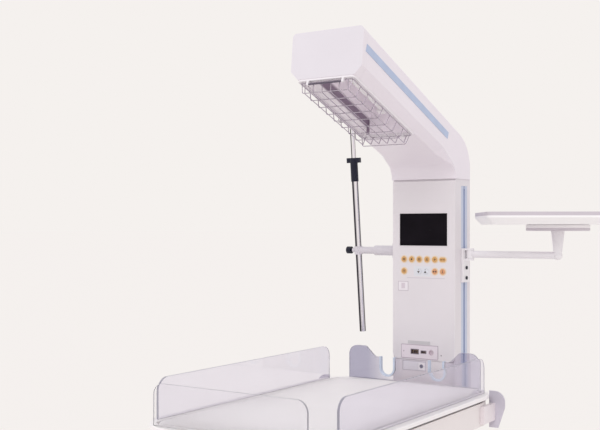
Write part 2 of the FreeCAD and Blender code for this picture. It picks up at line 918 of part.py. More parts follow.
def wheel(name):
    """Solid wheel with rounded tread edges and a bore for the axle."""
    body = doc.addObject("PartDesign::Body", f"caster_wheel_{name}")
    pad(body, "YZ", [("circle", "0", "0", "wheel_r")], "-wheel_half", "wheel_half")
    ease(body, "wheel_round", lambda edge: True)
    pocket(body, "YZ", [("circle", "0", "0", "axle_r+run")], "-wheel_half-1", "wheel_half+1")
    for low, high in (("wheel_half-dish", "wheel_half+1"), ("-wheel_half-1", "-wheel_half+dish")):
        ring = [("circle", "0", "0", "wheel_r-tread"), ("circle", "0", "0", "hub_r")]
        pocket(body, "YZ", ring, low, high)
    return body


for name, x, y in CORNERS:
    front = name.startswith("front")
    node(fork(name, front), x, y)
    node(wheel(name), x, f"{y}-wheel_trail", "wheel_r")
    if front:
        lever = join(
            f"lever_{name}",
            block(
                f"tread_{name}",
                "-pedal_half",
                "pedal_half",
                "pedal_end",
                "pedal_pin_y",
                "pedal_pin_z-pedal_pin_r",
                "pedal_pin_z+pedal_pin_r",
            ),
            rod(f"barrel_{name}", "X", "pedal_pin_r+pedal_wall", "-pedal_half", "pedal_pin_y", "pedal_pin_z", "2*pedal_half"),
        )
        hole = rod(
            f"lever_bore_{name}",
            "X",
            "pedal_pin_r+run",
            "-pedal_half-1",
            "pedal_pin_y",
            "pedal_pin_z",
            "2*pedal_half+2",
        )
        node(take(f"brake_pedal_{name}", lever, hole), x, y)

# column

column = plate(
    "column_body",
    "XY",
    box_loop("-col_x", "col_x", "col_front", "col_rear"),
    "leg_top+seat",
    "col_top",
    "col_round",
)
pocket(
    column,
    "XY",
    [box_loop("-hollow_x", "hollow_x", "hollow_front", "col_rear-col_wall")],
    "leg_top",
    "col_top+1",
)
pocket(
    column,
    "XY",
    [box_loop("-col_x-1", "col_x+1", "col_front-1", "col_front+col_step")],
    "bezel_low-fit",
    "col_top+1",
)
for low, high in (("-col_x-1", "-col_x+groove_deep"), ("col_x-groove_deep", "col_x+1")):
    groove = box_loop("groove_front", "groove_rear", "groove_low", "groove_top")
    pocket(column, "YZ", [groove], low, high)
door_hole = box_loop("door_left-fit", "door_right+fit", "door_low-fit", "door_top+fit")
pocket(column, "XZ", [door_hole], "col_front-1", "col_front+door_deep")
pin_hole = ("circle", "door_pin_x", "door_pin_y", "door_pin_r+run")
pocket(column, "XY", [pin_hole], "door_low-door_pin_in-fit", "door_top+door_pin_in+fit")
seam = box_loop("door_right-seam_wide/2", "door_right+seam_wide/2", "groove_low", "door_low-door_gap")
pocket(column, "XZ", [seam], "col_front-1", "col_front+seam_deep")
node(column)

strips = []
for side, x0, x1, c0, c1 in (
    ("l", "-col_x+fit", "-col_x+groove_deep-fit", "-col_x-1", "-col_x+core_deep"),
    ("r", "col_x-groove_deep+fit", "col_x-fit", "col_x-core_deep", "col_x+1"),
):
    strip = block(
        f"strip_{side}", x0, x1, "groove_front+fit", "groove_rear-fit", "groove_low+fit", "groove_top-fit"
    )
    core = block(f"core_{side}", c0, c1, "core_front", "core_rear", "groove_low+core_end", "groove_top-core_end")
    strips.append(take(f"rail_{side}", strip, core))
node(join("column_rails", *strips))

back = plate(
    "column_rear_cover",
    "XZ",
    box_loop("-back_x", "back_x", "back_low", "back_top"),
    "col_rear+fit",
    "col_rear+back_thick",
    "back_round",
)
ease(back, "back_edge", lambda edge: min(v.Y for v in edge.Vertexes) > s.col_rear + s.back_thick - 1e-3)
slots = [
    box_loop(
        "-vent_x",
        "vent_x",
        f"vent_low+{i}*vent_pitch",
        f"vent_low+{i}*vent_pitch+vent_tall",
    )
    for i in range(9)
]
pocket(back, "XZ", slots, "col_rear+back_thick-vent_deep", "col_rear+back_thick+1")
node(back)

# control panel

bezel = doc.addObject("PartDesign::Body", "front_bezel")
face = box_loop("-col_x", "col_x", "bezel_low", "bezel_top")
pad(bezel, "XZ", [face], "col_front", "col_front+col_step-fit")
ease(
    bezel,
    "bezel_round",
    lambda edge: along(edge, Vector(0, 1, 0)) and edge.BoundBox.ZMax < s.bezel_low + 1,
)
ease(bezel, "bezel_edge", lambda edge: max(v.Y for v in edge.Vertexes) < s.col_front + 1e-3)
pad(
    bezel,
    "XZ",
    [box_loop("-screen_x-border", "screen_x+border", "screen_low-border", "screen_top+border")],
    "col_front-border_proud",
    "col_front+1",
)
pad(
    bezel,
    "XZ",
    [
        box_loop("label_left", "label_right", "label_low", "label_top"),
        box_loop("arch_left", "arch_right", "arch_low", "arch_top"),
    ],
    "col_front-label_proud",
    "col_front+1",
)
pocket(
    bezel,
    "XZ",
    [box_loop("-screen_x-fit", "screen_x+fit", "screen_low-fit", "screen_top+fit")],
    "col_front-border_proud-1",
    "col_front+screen_deep",
)
pocket(
    bezel,
    "XZ",
    [box_loop("plate_left-fit", "plate_right+fit", "plate_low-fit", "plate_top+fit")],
    "col_front-1",
    "col_front+plate_deep",
)
pocket(
    bezel,
    "XZ",
    [box_loop("block_left-fit", "block_right+fit", "block_low-fit", "block_top+fit")],
    "col_front",
    "col_front+col_step",
)
KEYS = (
    ("key_mode", "key_a1", "key_row_a"),
    ("key_set", "key_a2", "key_row_a"),
    ("key_heater", "key_a3", "key_row_a"),
    ("key_skin", "key_a4", "key_row_a"),
    ("key_timer", "key_a5", "key_row_a"),
    ("key_lamp", "key_a1", "key_row_b"),
    ("key_down", "key_b2", "key_row_b"),
    ("key_up", "key_b3", "key_row_b"),
    ("key_alarm", "key_a5", "key_row_b"),
    ("key_power", "key_a6", "key_row_b"),
)
pocket(
    bezel,
    "XZ",
    [("circle", x, z, "key_r+key_fit") for _, x, z in KEYS],
    "col_front-1",
    "col_front+col_step",
)
bar_hole = box_loop(
    "key_a6-bar_half-key_fit",
    "key_a6+bar_half+key_fit",
    "key_row_a-bar_tall-key_fit",
    "key_row_a+bar_tall+key_fit",
)
pocket(bezel, "XZ", [bar_hole], "col_front-1", "col_front+col_step")
ease(
    bezel,
    "bar_round+key_fit",
    lambda edge: along(edge, Vector(0, 1, 0))
    and abs(abs(edge.BoundBox.Center.x - s.key_a6) - s.bar_half - s.key_fit) < 0.01
    and abs(abs(edge.BoundBox.Center.z - s.key_row_a) - s.bar_tall - s.key_fit) < 0.01,
)
node(bezel)

for name, x, z in KEYS:
    button = doc.addObject("PartDesign::Body", name)
    pad(button, "XZ", [("circle", x, z, "key_r")], "col_front-key_proud", "col_front-key_proud+key_long")
    ease(button, "key_edge", lambda edge: edge.BoundBox.YMax < s.col_front)
    node(button)
button = plate(
    "key_start",
    "XZ",
    box_loop("key_a6-bar_half", "key_a6+bar_half", "key_row_a-bar_tall", "key_row_a+bar_tall"),
    "col_front-key_proud",
    "col_front-key_proud+key_long",
    "bar_round",
)
ease(button, "key_edge", lambda edge: edge.BoundBox.YMax < s.col_front)
node(button)

glass = box_loop("-screen_x", "screen_x", "screen_low", "screen_top")
node(plate("display_glass", "XZ", glass, "col_front+screen_set", "col_front+screen_deep-fit"))

PORTS = [
    box_loop("port_a_left", "port_a_right", "port_a_low", "port_a_top"),
    box_loop("port_b_left", "port_b_right", "port_b_low", "port_b_top"),
    ("circle", "port_c_x", "port_z", "port_c_r"),
]
WINDOWS = [
    box_loop("port_a_left-fit", "port_a_right+fit", "port_a_low-fit", "port_a_top+fit"),
    box_loop("port_b_left-fit", "port_b_right+fit", "port_b_low-fit", "port_b_top+fit"),
    ("circle", "port_c_x", "port_z", "port_c_r+fit"),
]
panel = plate(
    "connector_plate",
    "XZ",
    box_loop("plate_left", "plate_right", "plate_low", "plate_top"),
    "col_front-plate_proud",
    "col_front+plate_deep-fit",
    "plate_round",
)
heads = [("circle", x, "screw_z", "screw_r") for x in ("screw_a", "screw_b")]
pad(panel, "XZ", heads, "col_front-plate_proud-screw_proud", "col_front")
pocket(panel, "XZ", WINDOWS, "col_front-plate_proud-1", "col_front+plate_deep")
node(panel)

ports = doc.addObject("PartDesign::Body", "probe_sockets")
pad(
    ports,
    "XZ",
    [box_loop("block_left", "block_right", "block_low", "block_top")],
    "col_front+plate_deep",
    "col_front+col_step-fit",
)
pad(ports, "XZ", PORTS, "col_front-plate_proud-port_proud", "col_front+plate_deep+fit")
pocket(
    ports,
    "XZ",
    [
        box_loop(
            "port_a_left+port_wall",
            "port_a_right-port_wall",
            "port_a_low+port_wall",
            "port_a_top-port_wall",
        ),
        box_loop(
            "port_b_left+port_wall",
            "port_b_right-port_wall",
            "port_b_low+port_wall",
            "port_b_top-port_wall",
        ),
        ("circle", "port_c_x", "port_z", "port_c_r-port_wall"),
    ],
    "col_front-plate_proud-1",
    "col_front-plate_proud+port_deep",
)
node(ports)

leaf = doc.addObject("PartDesign::Body", "door_leaf")
leaf_loop = box_loop("door_pin_x", "door_right", "door_low", "door_top")
pad(leaf, "XZ", [leaf_loop], "col_front", "col_front+door_thick")
pocket(leaf, "XZ", [("circle", "lock_x", "lock_z", "lock_r+run")], "col_front-1", "col_front+door_thick+1")
door_edge = rod("door_edge", "Z", "door_thick/2", "door_pin_x", "door_pin_y", "door_low", "door_tall")
door_pin = rod(
    "door_pin",
    "Z",
    "door_pin_r",
    "door_pin_x",
    "door_pin_y",
    "door_low-door_pin_in",
    "door_tall+2*door_pin_in",
)
node(join("service_door", leaf, door_edge, door_pin))
lock = doc.addObject("PartDesign::Body", "door_lock")
pad(lock, "XZ", [("circle", "lock_x", "lock_z", "lock_r")], "col_front-lock_proud", "col_front+door_thick")
key_slot = box_loop("lock_x-lock_slot/2", "lock_x+lock_slot/2", "lock_z-lock_r+lock_slot", "lock_z+lock_r-lock_slot")
pocket(lock, "XZ", [key_slot], "col_front-lock_proud-1", "col_front")
node(lock)

# hood


def slope(degrees):
    """Rise per millimetre of a line at an angle."""
    return math.tan(math.radians(degrees))


def hood_outline(inset, start, end):
    """Side face of the hood between two distances behind its front, shrunk by an inset."""
    low_drop = slope(s.hood_tilt)
    top_drop = slope(s.crown_tilt)
    under = inset / math.cos(math.radians(s.hood_tilt))
    over = inset / math.cos(math.radians(s.crown_tilt))
    low = Vector(0, s.hood_front + start, s.hood_low - low_drop * start + under)
    top = Vector(0, s.crown_front + start, s.crown_top - top_drop * start - over)
    if end:
        low_end = Vector(0, s.hood_front + end, s.hood_low - low_drop * end + under)
        top_end = Vector(0, s.crown_front + end, s.crown_top - top_drop * end - over)
        return Part.Face(Part.makePolygon([low, low_end, top_end, top, low]))
    front = s.col_front + inset
    rear = s.col_rear - inset
    bottom = s.col_top + s.fit + inset
    corners = [
        low,
        Vector(0, front, s.hood_low - low_drop * (front - s.hood_front) + under),
        Vector(0, front, bottom),
        Vector(0, rear, bottom),
        Vector(0, rear, s.crown_top - top_drop * (rear - s.crown_front) - over),
        top,
        low,
    ]
    face = Part.Face(Part.makePolygon(corners))
    thick = face.extrude(Vector(1, 0, 0))
    bends = ((corners[1], s.neck_round + inset), (corners[4], s.nape_round - inset))
    for corner, radius in bends:
        edges = [e for e in thick.Edges if along(e, Vector(1, 0, 0)) and near(e, corner)]
        thick = thick.makeFillet(radius, edges)
    flat = [f for f in thick.Faces if f.BoundBox.XMax < 1e-6]
    return flat[0]


def near(edge, point):
    """Whether an edge along X passes a point of the side view."""
    at = edge.Vertexes[0].Point
    return abs(at.y - point.y) < 1e-3 and abs(at.z - point.z) < 1e-3


HOOD = FreeCAD.Placement(
    Vector(0, s.hood_front, s.hood_low), FreeCAD.Rotation(Vector(1, 0, 0), -s.hood_tilt)
)


def bevel_tool(side, inset):
    """Long wedge that bevels one lower edge of the hood and fades out at the neck."""
    size = s.hood_cut - inset * (2 - math.sqrt(2))
    over = 12.0

    def section(along_hood, cut):
        x = side * (s.hood_x - inset)
        points = [
            Vector(x - side * cut, along_hood, inset),
            Vector(x + side * over, along_hood, inset + cut + over),
            Vector(x + side * over, along_hood, inset - over),
            Vector(x - side * cut, along_hood, inset - over),
        ]
        return Part.makePolygon(points + [points[0]])

    stations = [section(-60, size), section(s.cut_end, size), section(s.cut_end + s.cut_fade, 0.4)]
    tool = Part.makeLoft(stations, True, True)
    tool.Placement = HOOD
    return tool


def hood_solid(inset, start, end):
    """Hood volume with rounded crown edges and bevelled lower edges."""
    half = s.hood_x - inset
    body = hood_outline(inset, start, end).extrude(Vector(2 * half, 0, 0))
    body.translate(Vector(-half, 0, 0))
    crown = [
        e
        for e in body.Edges
        if abs(abs(e.BoundBox.Center.x) - half) < 1e-3
        and e.BoundBox.XLength < 1e-3
        and on_crown(e, inset)
    ]
    body = body.makeFillet(s.crown_round - inset, crown)
    for side in (-1, 1):
        body = body.cut(bevel_tool(side, inset))
    return body


def on_crown(edge, inset):
    """Whether an edge of the hood's side lies on its upper line."""
    over = inset / math.cos(math.radians(s.crown_tilt))
    for v in edge.Vertexes:
        line = s.crown_top - slope(s.crown_tilt) * (v.Point.y - s.crown_front) - over
        if abs(v.Point.z - line) > 1e-2:
            return False
    return True


outer = hood_solid(0, s.cap_long + s.fit, None)
inner = hood_solid(s.hood_wall, s.cap_long + s.fit - 1, None)
opening = Part.makeBox(
    2 * s.mouth_x,
    s.frame_long - 2 * s.frame_lap,
    10 * s.hood_wall,
    Vector(-s.mouth_x, s.frame_start + s.frame_lap, -4 * s.hood_wall),
)
opening.Placement = HOOD
shell = outer.cut(inner).cut(opening)
node(solid("hood_shell", shell))

cap = hood_solid(0, 0, s.cap_long)
cap = cap.cut(hood_solid(s.hood_wall, s.hood_wall, s.cap_long + 1)).cut(opening)
node(solid("hood_front_cap", cap))

stripe_place = FreeCAD.Rotation(Vector(1, 0, 0), -s.stripe_tilt)
stripes = []
for side, x in (("l", -s.hood_x - s.stripe_thick - s.fit), ("r", s.hood_x + s.fit)):
    strip = Part.makeBox(s.stripe_thick, s.stripe_long, 2 * s.stripe_half, Vector(x, 0, -s.stripe_half))
    strip.Placement = FreeCAD.Placement(Vector(0, s.stripe_y, s.stripe_z), stripe_place)
    stripes.append(strip)
node(solid("hood_stripes", Part.makeCompound(stripes)))

# heater, built along the hood's underside and then tilted with it

TILT = FreeCAD.Rotation(Vector(1, 0, 0), -s.hood_tilt)


def hood_node(made):
    """Set a sub-part that was drawn along the hood's underside."""
    return node(made, "0", "hood_front", "hood_low", TILT)


window = box_loop(
    "-frame_x+frame_bar",
    "frame_x-frame_bar",
    "frame_start+frame_bar",
    "frame_start+frame_long-frame_bar",
)
rim = plate(
    "heater_frame_plate",
    "XY",
    box_loop("-frame_x", "frame_x", "frame_start", "frame_start+frame_long"),
    "-fit-frame_thick",
    "-fit",
    "frame_round",
)
pocket(rim, "XY", [window], "-fit-frame_thick-1", "1")
eyes = []
eye_holes = []
for side, sign in (("l", "-"), ("r", "")):
    eyes.append(
        block(
            f"guard_eye_{side}",
            f"{sign}eye_x-eye_half",
            f"{sign}eye_x+eye_half",
            "guard_rear-eye_r",
            "guard_rear+eye_r",
            "guard_rim-eye_r",
            "-fit-frame_thick+1",
        )
    )
    hole = (f"eye_hole_{side}", "X", "wire_r+run", f"{sign}eye_x-eye_half-1", "guard_rear", "guard_rim")
    eye_holes.append(rod(*hole, "2*eye_half+2"))
    eyes.append(
        block(
            f"guard_clip_{side}",
            f"{sign}clip_x-clip_half",
            f"{sign}clip_x+clip_half",
            "frame_start",
            "guard_front-wire_r-seat",
            "-fit-frame_thick-clip_deep",
            "-fit-frame_thick+1",
        )
    )
latch = rod("guard_bar", "X", "bar_r", "-clip_x", "frame_start+bar_r", "-fit-frame_thick-clip_deep+bar_r", "2*clip_x")
frame_all = join("heater_frame_full", rim, *eyes, latch)
hood_node(take("heater_frame", frame_all, join("guard_eye_holes", *eye_holes)))


def trough(inset, low):
    """Tapered block of the reflector, shrunk by an inset, from a height up."""
    grow = (s.trough_mouth - s.trough_top) / s.trough_tall
    lean = s.trough_slope / s.trough_tall
    middle = s.frame_start + s.frame_long / 2
    length = s.frame_long / 2 - s.frame_bar + s.trough_wall
    sections = []
    for up in (low, s.trough_tall - inset):
        half = s.trough_mouth - grow * up - inset
        reach = length - lean * up - inset
        corners = [(-half, -reach), (half, -reach), (half, reach), (-half, reach), (-half, -reach)]
        points = [Vector(x, middle + y, up) for x, y in corners]
        sections.append(Part.makePolygon(points))
    return Part.makeLoft(sections, True, True)


skin = trough(0, s.seat - s.fit)
skin = skin.cut(trough(s.trough_wall, -1))
hood_node(solid("reflector", skin))

heater_start = "frame_start+frame_bar+trough_slope+rod_end"
heater_long = "frame_long-2*frame_bar-2*trough_slope-2*rod_end"
holders = [
    block(
        f"holder_{name}",
        "-holder_half",
        "holder_half",
        start,
        f"{start}+holder_long",
        "rod_up-holder_half",
        "trough_tall-trough_wall-seat",
    )
    for name, start in (
        ("front", heater_start),
        ("rear", f"{heater_start}+{heater_long}-holder_long"),
    )
]
tube = rod("heater_tube", "Y", "rod_r", "0", heater_start, "rod_up", heater_long)
hood_node(join("heater_element", tube, *holders))

# wire guard


def wire(points, radius, bend):
    """Round wire along a path of straight runs with rounded corners."""
    edges = []
    last = points[0]
    for before, corner, after in zip(points, points[1:], points[2:]):
        into = (corner - before).normalize()
        out = (after - corner).normalize()
        half_turn = into.getAngle(out) / 2
        reach = bend * math.tan(half_turn)
        start = corner - into * reach
        end = corner + out * reach
        inward = (out - into).normalize()
        middle = corner + inward * (bend / math.cos(half_turn) - bend)
        edges.append(Part.LineSegment(last, start).toShape())
        edges.append(Part.Arc(start, middle, end).toShape())
        last = end
    edges.append(Part.LineSegment(last, points[-1]).toShape())
    path = Part.Wire(edges)
    heading = (points[1] - points[0]).normalize()
    ring = Part.Wire([Part.makeCircle(radius, points[0], heading)])
    return path.makePipeShell([ring], True, False)


def guard():
    """Basket of bent wires under the heater, hinged at its rear rim wire."""
    rim_x = s.guard_x
    low = s.guard_rim - s.guard_deep
    nest = 1.5 * s.wire_r
    run = s.guard_rear - s.guard_front
    first = s.guard_front + 3 * s.wire_r
    pitch = (s.guard_rear - 3 * s.wire_r - first) / (s.guard_count - 1)
    pieces = []
    for i in range(s.guard_count):
        y = first + pitch * i
        path = [
            Vector(-rim_x + nest, y, s.guard_rim),
            Vector(-rim_x + nest + s.guard_slope, y, low),
            Vector(rim_x - nest - s.guard_slope, y, low),
            Vector(rim_x - nest, y, s.guard_rim),
        ]
        pieces.append(wire(path, s.wire_r, s.guard_bend))
    for i in range(s.guard_lines):
        x = -s.guard_line_x + 2 * s.guard_line_x * i / (s.guard_lines - 1)
        path = [
            Vector(x, s.guard_front + nest, s.guard_rim),
            Vector(x, s.guard_front + nest + s.guard_slope, low + nest),
            Vector(x, s.guard_rear - nest - s.guard_slope, low + nest),
            Vector(x, s.guard_rear - nest, s.guard_rim),
        ]
        pieces.append(wire(path, s.wire_r, s.guard_bend / 2))
    for x in (-rim_x, rim_x):
        pieces.append(Part.makeCylinder(s.wire_r, run, Vector(x, s.guard_front, s.guard_rim), Vector(0, 1, 0)))
    for y in (s.guard_front, s.guard_rear):
        pieces.append(
            Part.makeCylinder(s.wire_r, 2 * rim_x, Vector(-rim_x, y, s.guard_rim), Vector(1, 0, 0))
        )
        for x in (-rim_x, rim_x):
            pieces.append(Part.makeSphere(s.wire_r, Vector(x, y, s.guard_rim)))
    basket = pieces[0].fuse(pieces[1:])
    if len(basket.Solids) != 1:
        raise RuntimeError("the guard's wires don't join")
    return basket.Solids[0]


hood_node(solid("wire_guard", guard()))

# bed

arm = block("arm_outer", "-arm_x", "arm_x", "arm_front", "col_front-flange_thick-seat+1", "arm_low", "arm_top")
arm_room = block(
    "arm_room",
    "-arm_x+arm_wall",
    "arm_x-arm_wall",
    "arm_front+arm_wall",
    "col_front-flange_thick-seat-arm_wall",
    "arm_low-1",
    "arm_top-arm_wall",
)
flange = block(
    "arm_flange",
    "-flange_x",
    "flange_x",
    "col_front-flange_thick-seat",
    "col_front-seat",
    "flange_low",
    "arm_top",
)
node(take("bed_support", join("arm_full", arm, flange), arm_room))

base = plate(
    "bed_base_block",
    "XY",
    box_loop("-base_x", "base_x", "base_foot", "base_head"),
    "base_low",
    "base_top",
    "base_round",
)
base_room = plate(
    "bed_base_room",
    "XY",
    box_loop("-base_x+base_wall", "base_x-base_wall", "base_foot+base_wall", "base_head-base_wall"),
    "base_low+base_wall",
    "base_top+1",
    "base_round-base_wall",
)
mouth = block("cassette_mouth", "-slot_x", "slot_x", "base_foot-1", "base_foot+base_round", "slot_low", "slot_top")
base = take("bed_base_pan", base, join("bed_base_cuts", base_room, mouth))
runners = [
    block(f"runner_{side}", x0, x1, "runner_foot", "runner_head", "base_low+1", "runner_top")
    for side, x0, x1 in (("l", "-runner_out", "-runner_in"), ("r", "runner_in", "runner_out"))
]
posts = [
    rod(f"rest_post_{side}", "Z", "post_r", x, "post_y", "base_low+1", "pan_low-seat-base_low-1")
    for side, x in (("l", "-post_x"), ("r", "post_x"))
]
knuckles = []
pins = []
for side, x0, x1, start in (
    ("l", "-knuckle_mid+seat", "-knuckle_in", "-knuckle_out+seat"),
    ("r", "knuckle_in", "knuckle_mid-seat", "knuckle_in"),
):
    knuckles.append(rod(f"base_knuckle_{side}", "X", "hinge_r", x0, "hinge_y", "hinge_z", f"{x1}-({x0})"))
    knuckles.append(block(f"base_leaf_{side}", x0, x1, "hinge_y-leaf_half", "hinge_y+leaf_half", "base_top-1", "hinge_z"))
    pins.append(rod(f"hinge_pin_{side}", "X", "hinge_pin", start, "hinge_y", "hinge_z", "knuckle_out-knuckle_in-seat"))
node(join("bed_base", base, *runners, *posts, *knuckles, *pins))

deck = plate(
    "deck_rim",
    "XY",
    box_loop("-deck_x", "deck_x", "deck_foot", "deck_head"),
    "deck_low",
    "deck_top",
    "deck_round",
)
ease(deck, "deck_edge", lambda edge: min(v.Z for v in edge.Vertexes) > s.deck_top - 1e-3)
pan = plate(
    "deck_pan",
    "XY",
    box_loop("-pan_x", "pan_x", "pan_foot", "pan_head"),
    "pan_low",
    "deck_low+1",
    "pan_round",
)
leaves = []
leaf_bores = []
for side, x0, x1 in (("l", "-knuckle_out", "-knuckle_mid"), ("r", "knuckle_mid", "knuckle_out")):
    leaves.append(rod(f"deck_knuckle_{side}", "X", "hinge_r", x0, "hinge_y", "hinge_z", f"{x1}-({x0})"))
    leaves.append(block(f"deck_leaf_{side}", x0, x1, "hinge_y-leaf_half", "hinge_y+leaf_half", "hinge_z", "deck_low+1"))
    leaf_bores.append(
        rod(f"deck_bore_{side}", "X", "hinge_pin+run", f"{x0}-1", "hinge_y", "hinge_z", f"{x1}-({x0})+2")
    )
well = plate(
    "mattress_well",
    "XY",
    box_loop("-mat_x-mat_fit", "mat_x+mat_fit", "mat_foot-mat_fit", "mat_head+mat_fit"),
    "pan_floor",
    "deck_top+1",
    "mat_round",
)
cuts = [
    block(
        f"side_slot_{side}",
        f"{sign}side_x-panel_half-fit",
        f"{sign}side_x+panel_half+fit",
        "side_foot-fit",
        "side_head+fit",
        "panel_low-fit",
        "deck_top+1",
    )
    for side, sign in (("l", "-"), ("r", ""))
]
cuts += [
    block(
        f"end_slot_{name}",
        "-end_x-fit",
        "end_x+fit",
        f"{y}-panel_half-fit",
        f"{y}+panel_half+fit",
        "panel_low-fit",
        "deck_top+1",
    )
    for name, y in (("head", "head_y"), ("foot", "foot_y"))
]
deck_full = join("deck_full", deck, pan, *leaves)
node(take("bed_deck", deck_full, join("deck_cuts", well, *cuts, *leaf_bores)))

mattress = plate(
    "mattress",
    "XY",
    box_loop("-mat_x", "mat_x", "mat_foot", "mat_head"),
    "pan_floor+seat",
    "mat_top",
    "mat_round",
)
ease(mattress, "mat_edge", lambda edge: min(v.Z for v in edge.Vertexes) > s.mat_top - 1e-3)
node(mattress)

drawer = plate(
    "cassette_floor",
    "XY",
    box_loop("-cassette_x", "cassette_x", "cassette_foot", "cassette_head"),
    "cassette_low",
    "cassette_low+cassette_thick",
    "cassette_edge",
)
tongue = block(
    "cassette_tongue",
    "-tongue_x",
    "tongue_x",
    "tongue_foot",
    "cassette_foot+1",
    "cassette_low",
    "cassette_low+cassette_thick",
)
pull = block(
    "cassette_pull",
    "-pull_x",
    "pull_x",
    "pull_foot",
    "tongue_foot+1",
    "cassette_low",
    "cassette_low+pull_tall",
)
node(join("xray_tray", drawer, tongue, pull))

# clear panels

for side, sign in (("left", "-"), ("right", "")):
    guard_panel = doc.addObject("PartDesign::Body", f"side_panel_{side}")
    outline = box_loop("side_foot", "side_head", "panel_low", "panel_top")
    pad(guard_panel, "YZ", [outline], f"{sign}side_x-panel_half", f"{sign}side_x+panel_half")
    ease(
        guard_panel,
        "side_round",
        lambda edge: along(edge, Vector(1, 0, 0)) and edge.BoundBox.ZMin > s.panel_top - 1,
    )
    node(guard_panel)

foot = doc.addObject("PartDesign::Body", "foot_panel")
outline = box_loop("-end_x", "end_x", "panel_low", "panel_top")
pad(foot, "XZ", [outline], "foot_y-panel_half", "foot_y+panel_half")
ease(foot, "end_round", lambda edge: along(edge, Vector(0, 1, 0)) and edge.BoundBox.ZMin > s.panel_top - 1)
node(foot)

head = doc.addObject("PartDesign::Body", "head_panel")
outline = [
    ("-end_x", "panel_low"),
    ("end_x", "panel_low"),
    ("end_x", "panel_top"),
    ("ear_x", "panel_top"),
    ("dip_x", "dip_top"),
    ("notch_x+notch_half", "dip_top"),
    ("notch_x+notch_half", "notch_low"),
    ("notch_x-notch_half", "notch_low"),
    ("notch_x-notch_half", "dip_top"),
    ("-notch_x+notch_half", "dip_top"),
    ("-notch_x+notch_half", "notch_low"),
    ("-notch_x-notch_half", "notch_low"),
    ("-notch_x-notch_half", "dip_top"),
    ("-dip_x", "dip_top"),
    ("-ear_x", "panel_top"),
    ("-end_x", "panel_top"),
]
pad(head, "XZ", [outline], "head_y-panel_half", "head_y+panel_half")
ease(
    head,
    "end_round",
    lambda edge: along(edge, Vector(0, 1, 0))
    and abs(edge.BoundBox.Center.x) > s.end_x - 1
    and edge.BoundBox.ZMin > s.panel_top - 1,
)
ease(
    head,
    "notch_half-fit",
    lambda edge: along(edge, Vector(0, 1, 0)) and abs(edge.BoundBox.Center.z - s.notch_low) < 0.1,
)
ease(
    head,
    "ear_curve",
    lambda edge: along(edge, Vector(0, 1, 0))
    and min(abs(abs(edge.BoundBox.Center.x) - x) for x in (s.ear_x, s.dip_x)) < 0.1,
)
node(head)

tubes = []
for side, sign in (("l", "-"), ("r", "")):
    shells = []
    for part, inset, proud, top in (
        ("out", "seat", "tube_proud", "tube_rise"),
        ("in", "tube_wall", "(tube_proud+1)", "tube_rise+1"),
    ):
        liner = doc.addObject("PartDesign::Body", f"liner_{part}_{side}")
        outline = box_loop(
            f"{sign}notch_x-notch_half+{inset}",
            f"{sign}notch_x+notch_half-{inset}",
            f"notch_low+{inset}",
            f"dip_top+{top}",
        )
        pad(liner, "XZ", [outline], f"head_y-panel_half-{proud}", f"head_y+panel_half+{proud}")
        ease(
            liner,
            f"notch_half-{inset}-fit",
            lambda edge: along(edge, Vector(0, 1, 0)) and edge.BoundBox.ZMax < s.notch_low + s.tube_wall + 1,
        )
        shells.append(liner)
    tubes.append(take(f"liner_{side}", *shells))
node(join("tube_grommets", *tubes))

# corner grips

grips = []
for side, sign in (("l", "-"), ("r", "")):
    grip = doc.addObject("PartDesign::Body", f"grip_{side}")
    inner = f"{sign}grip_in"
    outer_edge = f"{sign}grip_out"
    outline = [
        (inner, "grip_low"),
        (f"{sign}grip_neck", "grip_low"),
        (outer_edge, "grip_shoulder"),
        (outer_edge, "grip_top"),
        (inner, "grip_top"),
    ]
    pad(grip, "XZ", [outline], "grip_rear-grip_thick", "grip_rear")
    ease(
        grip,
        "grip_round",
        lambda edge: along(edge, Vector(0, 1, 0)) and abs(abs(edge.BoundBox.Center.x) - s.grip_out) < 0.01,
    )
    stub = block(
        f"grip_block_{side}",
        f"{sign}stub_{'out' if sign else 'in'}",
        f"{sign}stub_{'in' if sign else 'out'}",
        "stub_front",
        "grip_rear-grip_thick+1",
        "stub_low",
        "stub_top",
    )
    grips += [grip, stub]
node(join("rear_grips", *grips))

# drip pole

LEAN = FreeCAD.Rotation(Vector(1, 0, 0), s.pole_lean)
clamp = block(
    "iv_clamp",
    "-iv_clamp_out",
    "-col_x-seat",
    "rail_y-iv_clamp_half",
    "rail_y+iv_clamp_half",
    "iv_z-iv_clamp_half",
    "iv_z+iv_clamp_half",
)
thick_arm = rod("iv_arm", "X", "iv_arm_r", "-iv_arm_end", "rail_y", "iv_z", "iv_arm_end-iv_clamp_out+1")
thin_arm = rod("iv_bar", "X", "iv_bar_r", "-pole_x", "rail_y", "iv_z", "pole_x-iv_arm_end+1")
eye = rod("iv_ring", "Z", "ring_out", "-pole_x", "rail_y", "iv_z", "2*ring_half")
lean = math.radians(s.pole_lean)
eye.Placement.Rotation = LEAN
eye.setExpression("Placement.Base.y", linked(f"rail_y + ring_half * {math.sin(lean):.6f}"))
eye.setExpression("Placement.Base.z", linked(f"iv_z - ring_half * {math.cos(lean):.6f}"))
boss = rod("iv_boss", "X", "iv_screw_r+boss_wall", "-pole_x-boss_long", "rail_y", "iv_z", "boss_long")
eye_bore = Part.makeCylinder(s.pole_r + s.run, 8 * s.ring_half, Vector(0, 0, -4 * s.ring_half))
eye_bore.Placement = FreeCAD.Placement(Vector(-s.pole_x, s.rail_y, s.iv_z), LEAN)
screw_bore = rod("iv_screw_bore", "X", "iv_screw_r+run", "-knob_in-1", "rail_y", "iv_z", "knob_in+1-pole_x")
bracket = join("iv_bracket_full", clamp, thick_arm, thin_arm, eye, boss)
node(take("iv_bracket", bracket, join("iv_bracket_bores", solid("iv_eye_bore", eye_bore), screw_bore)))

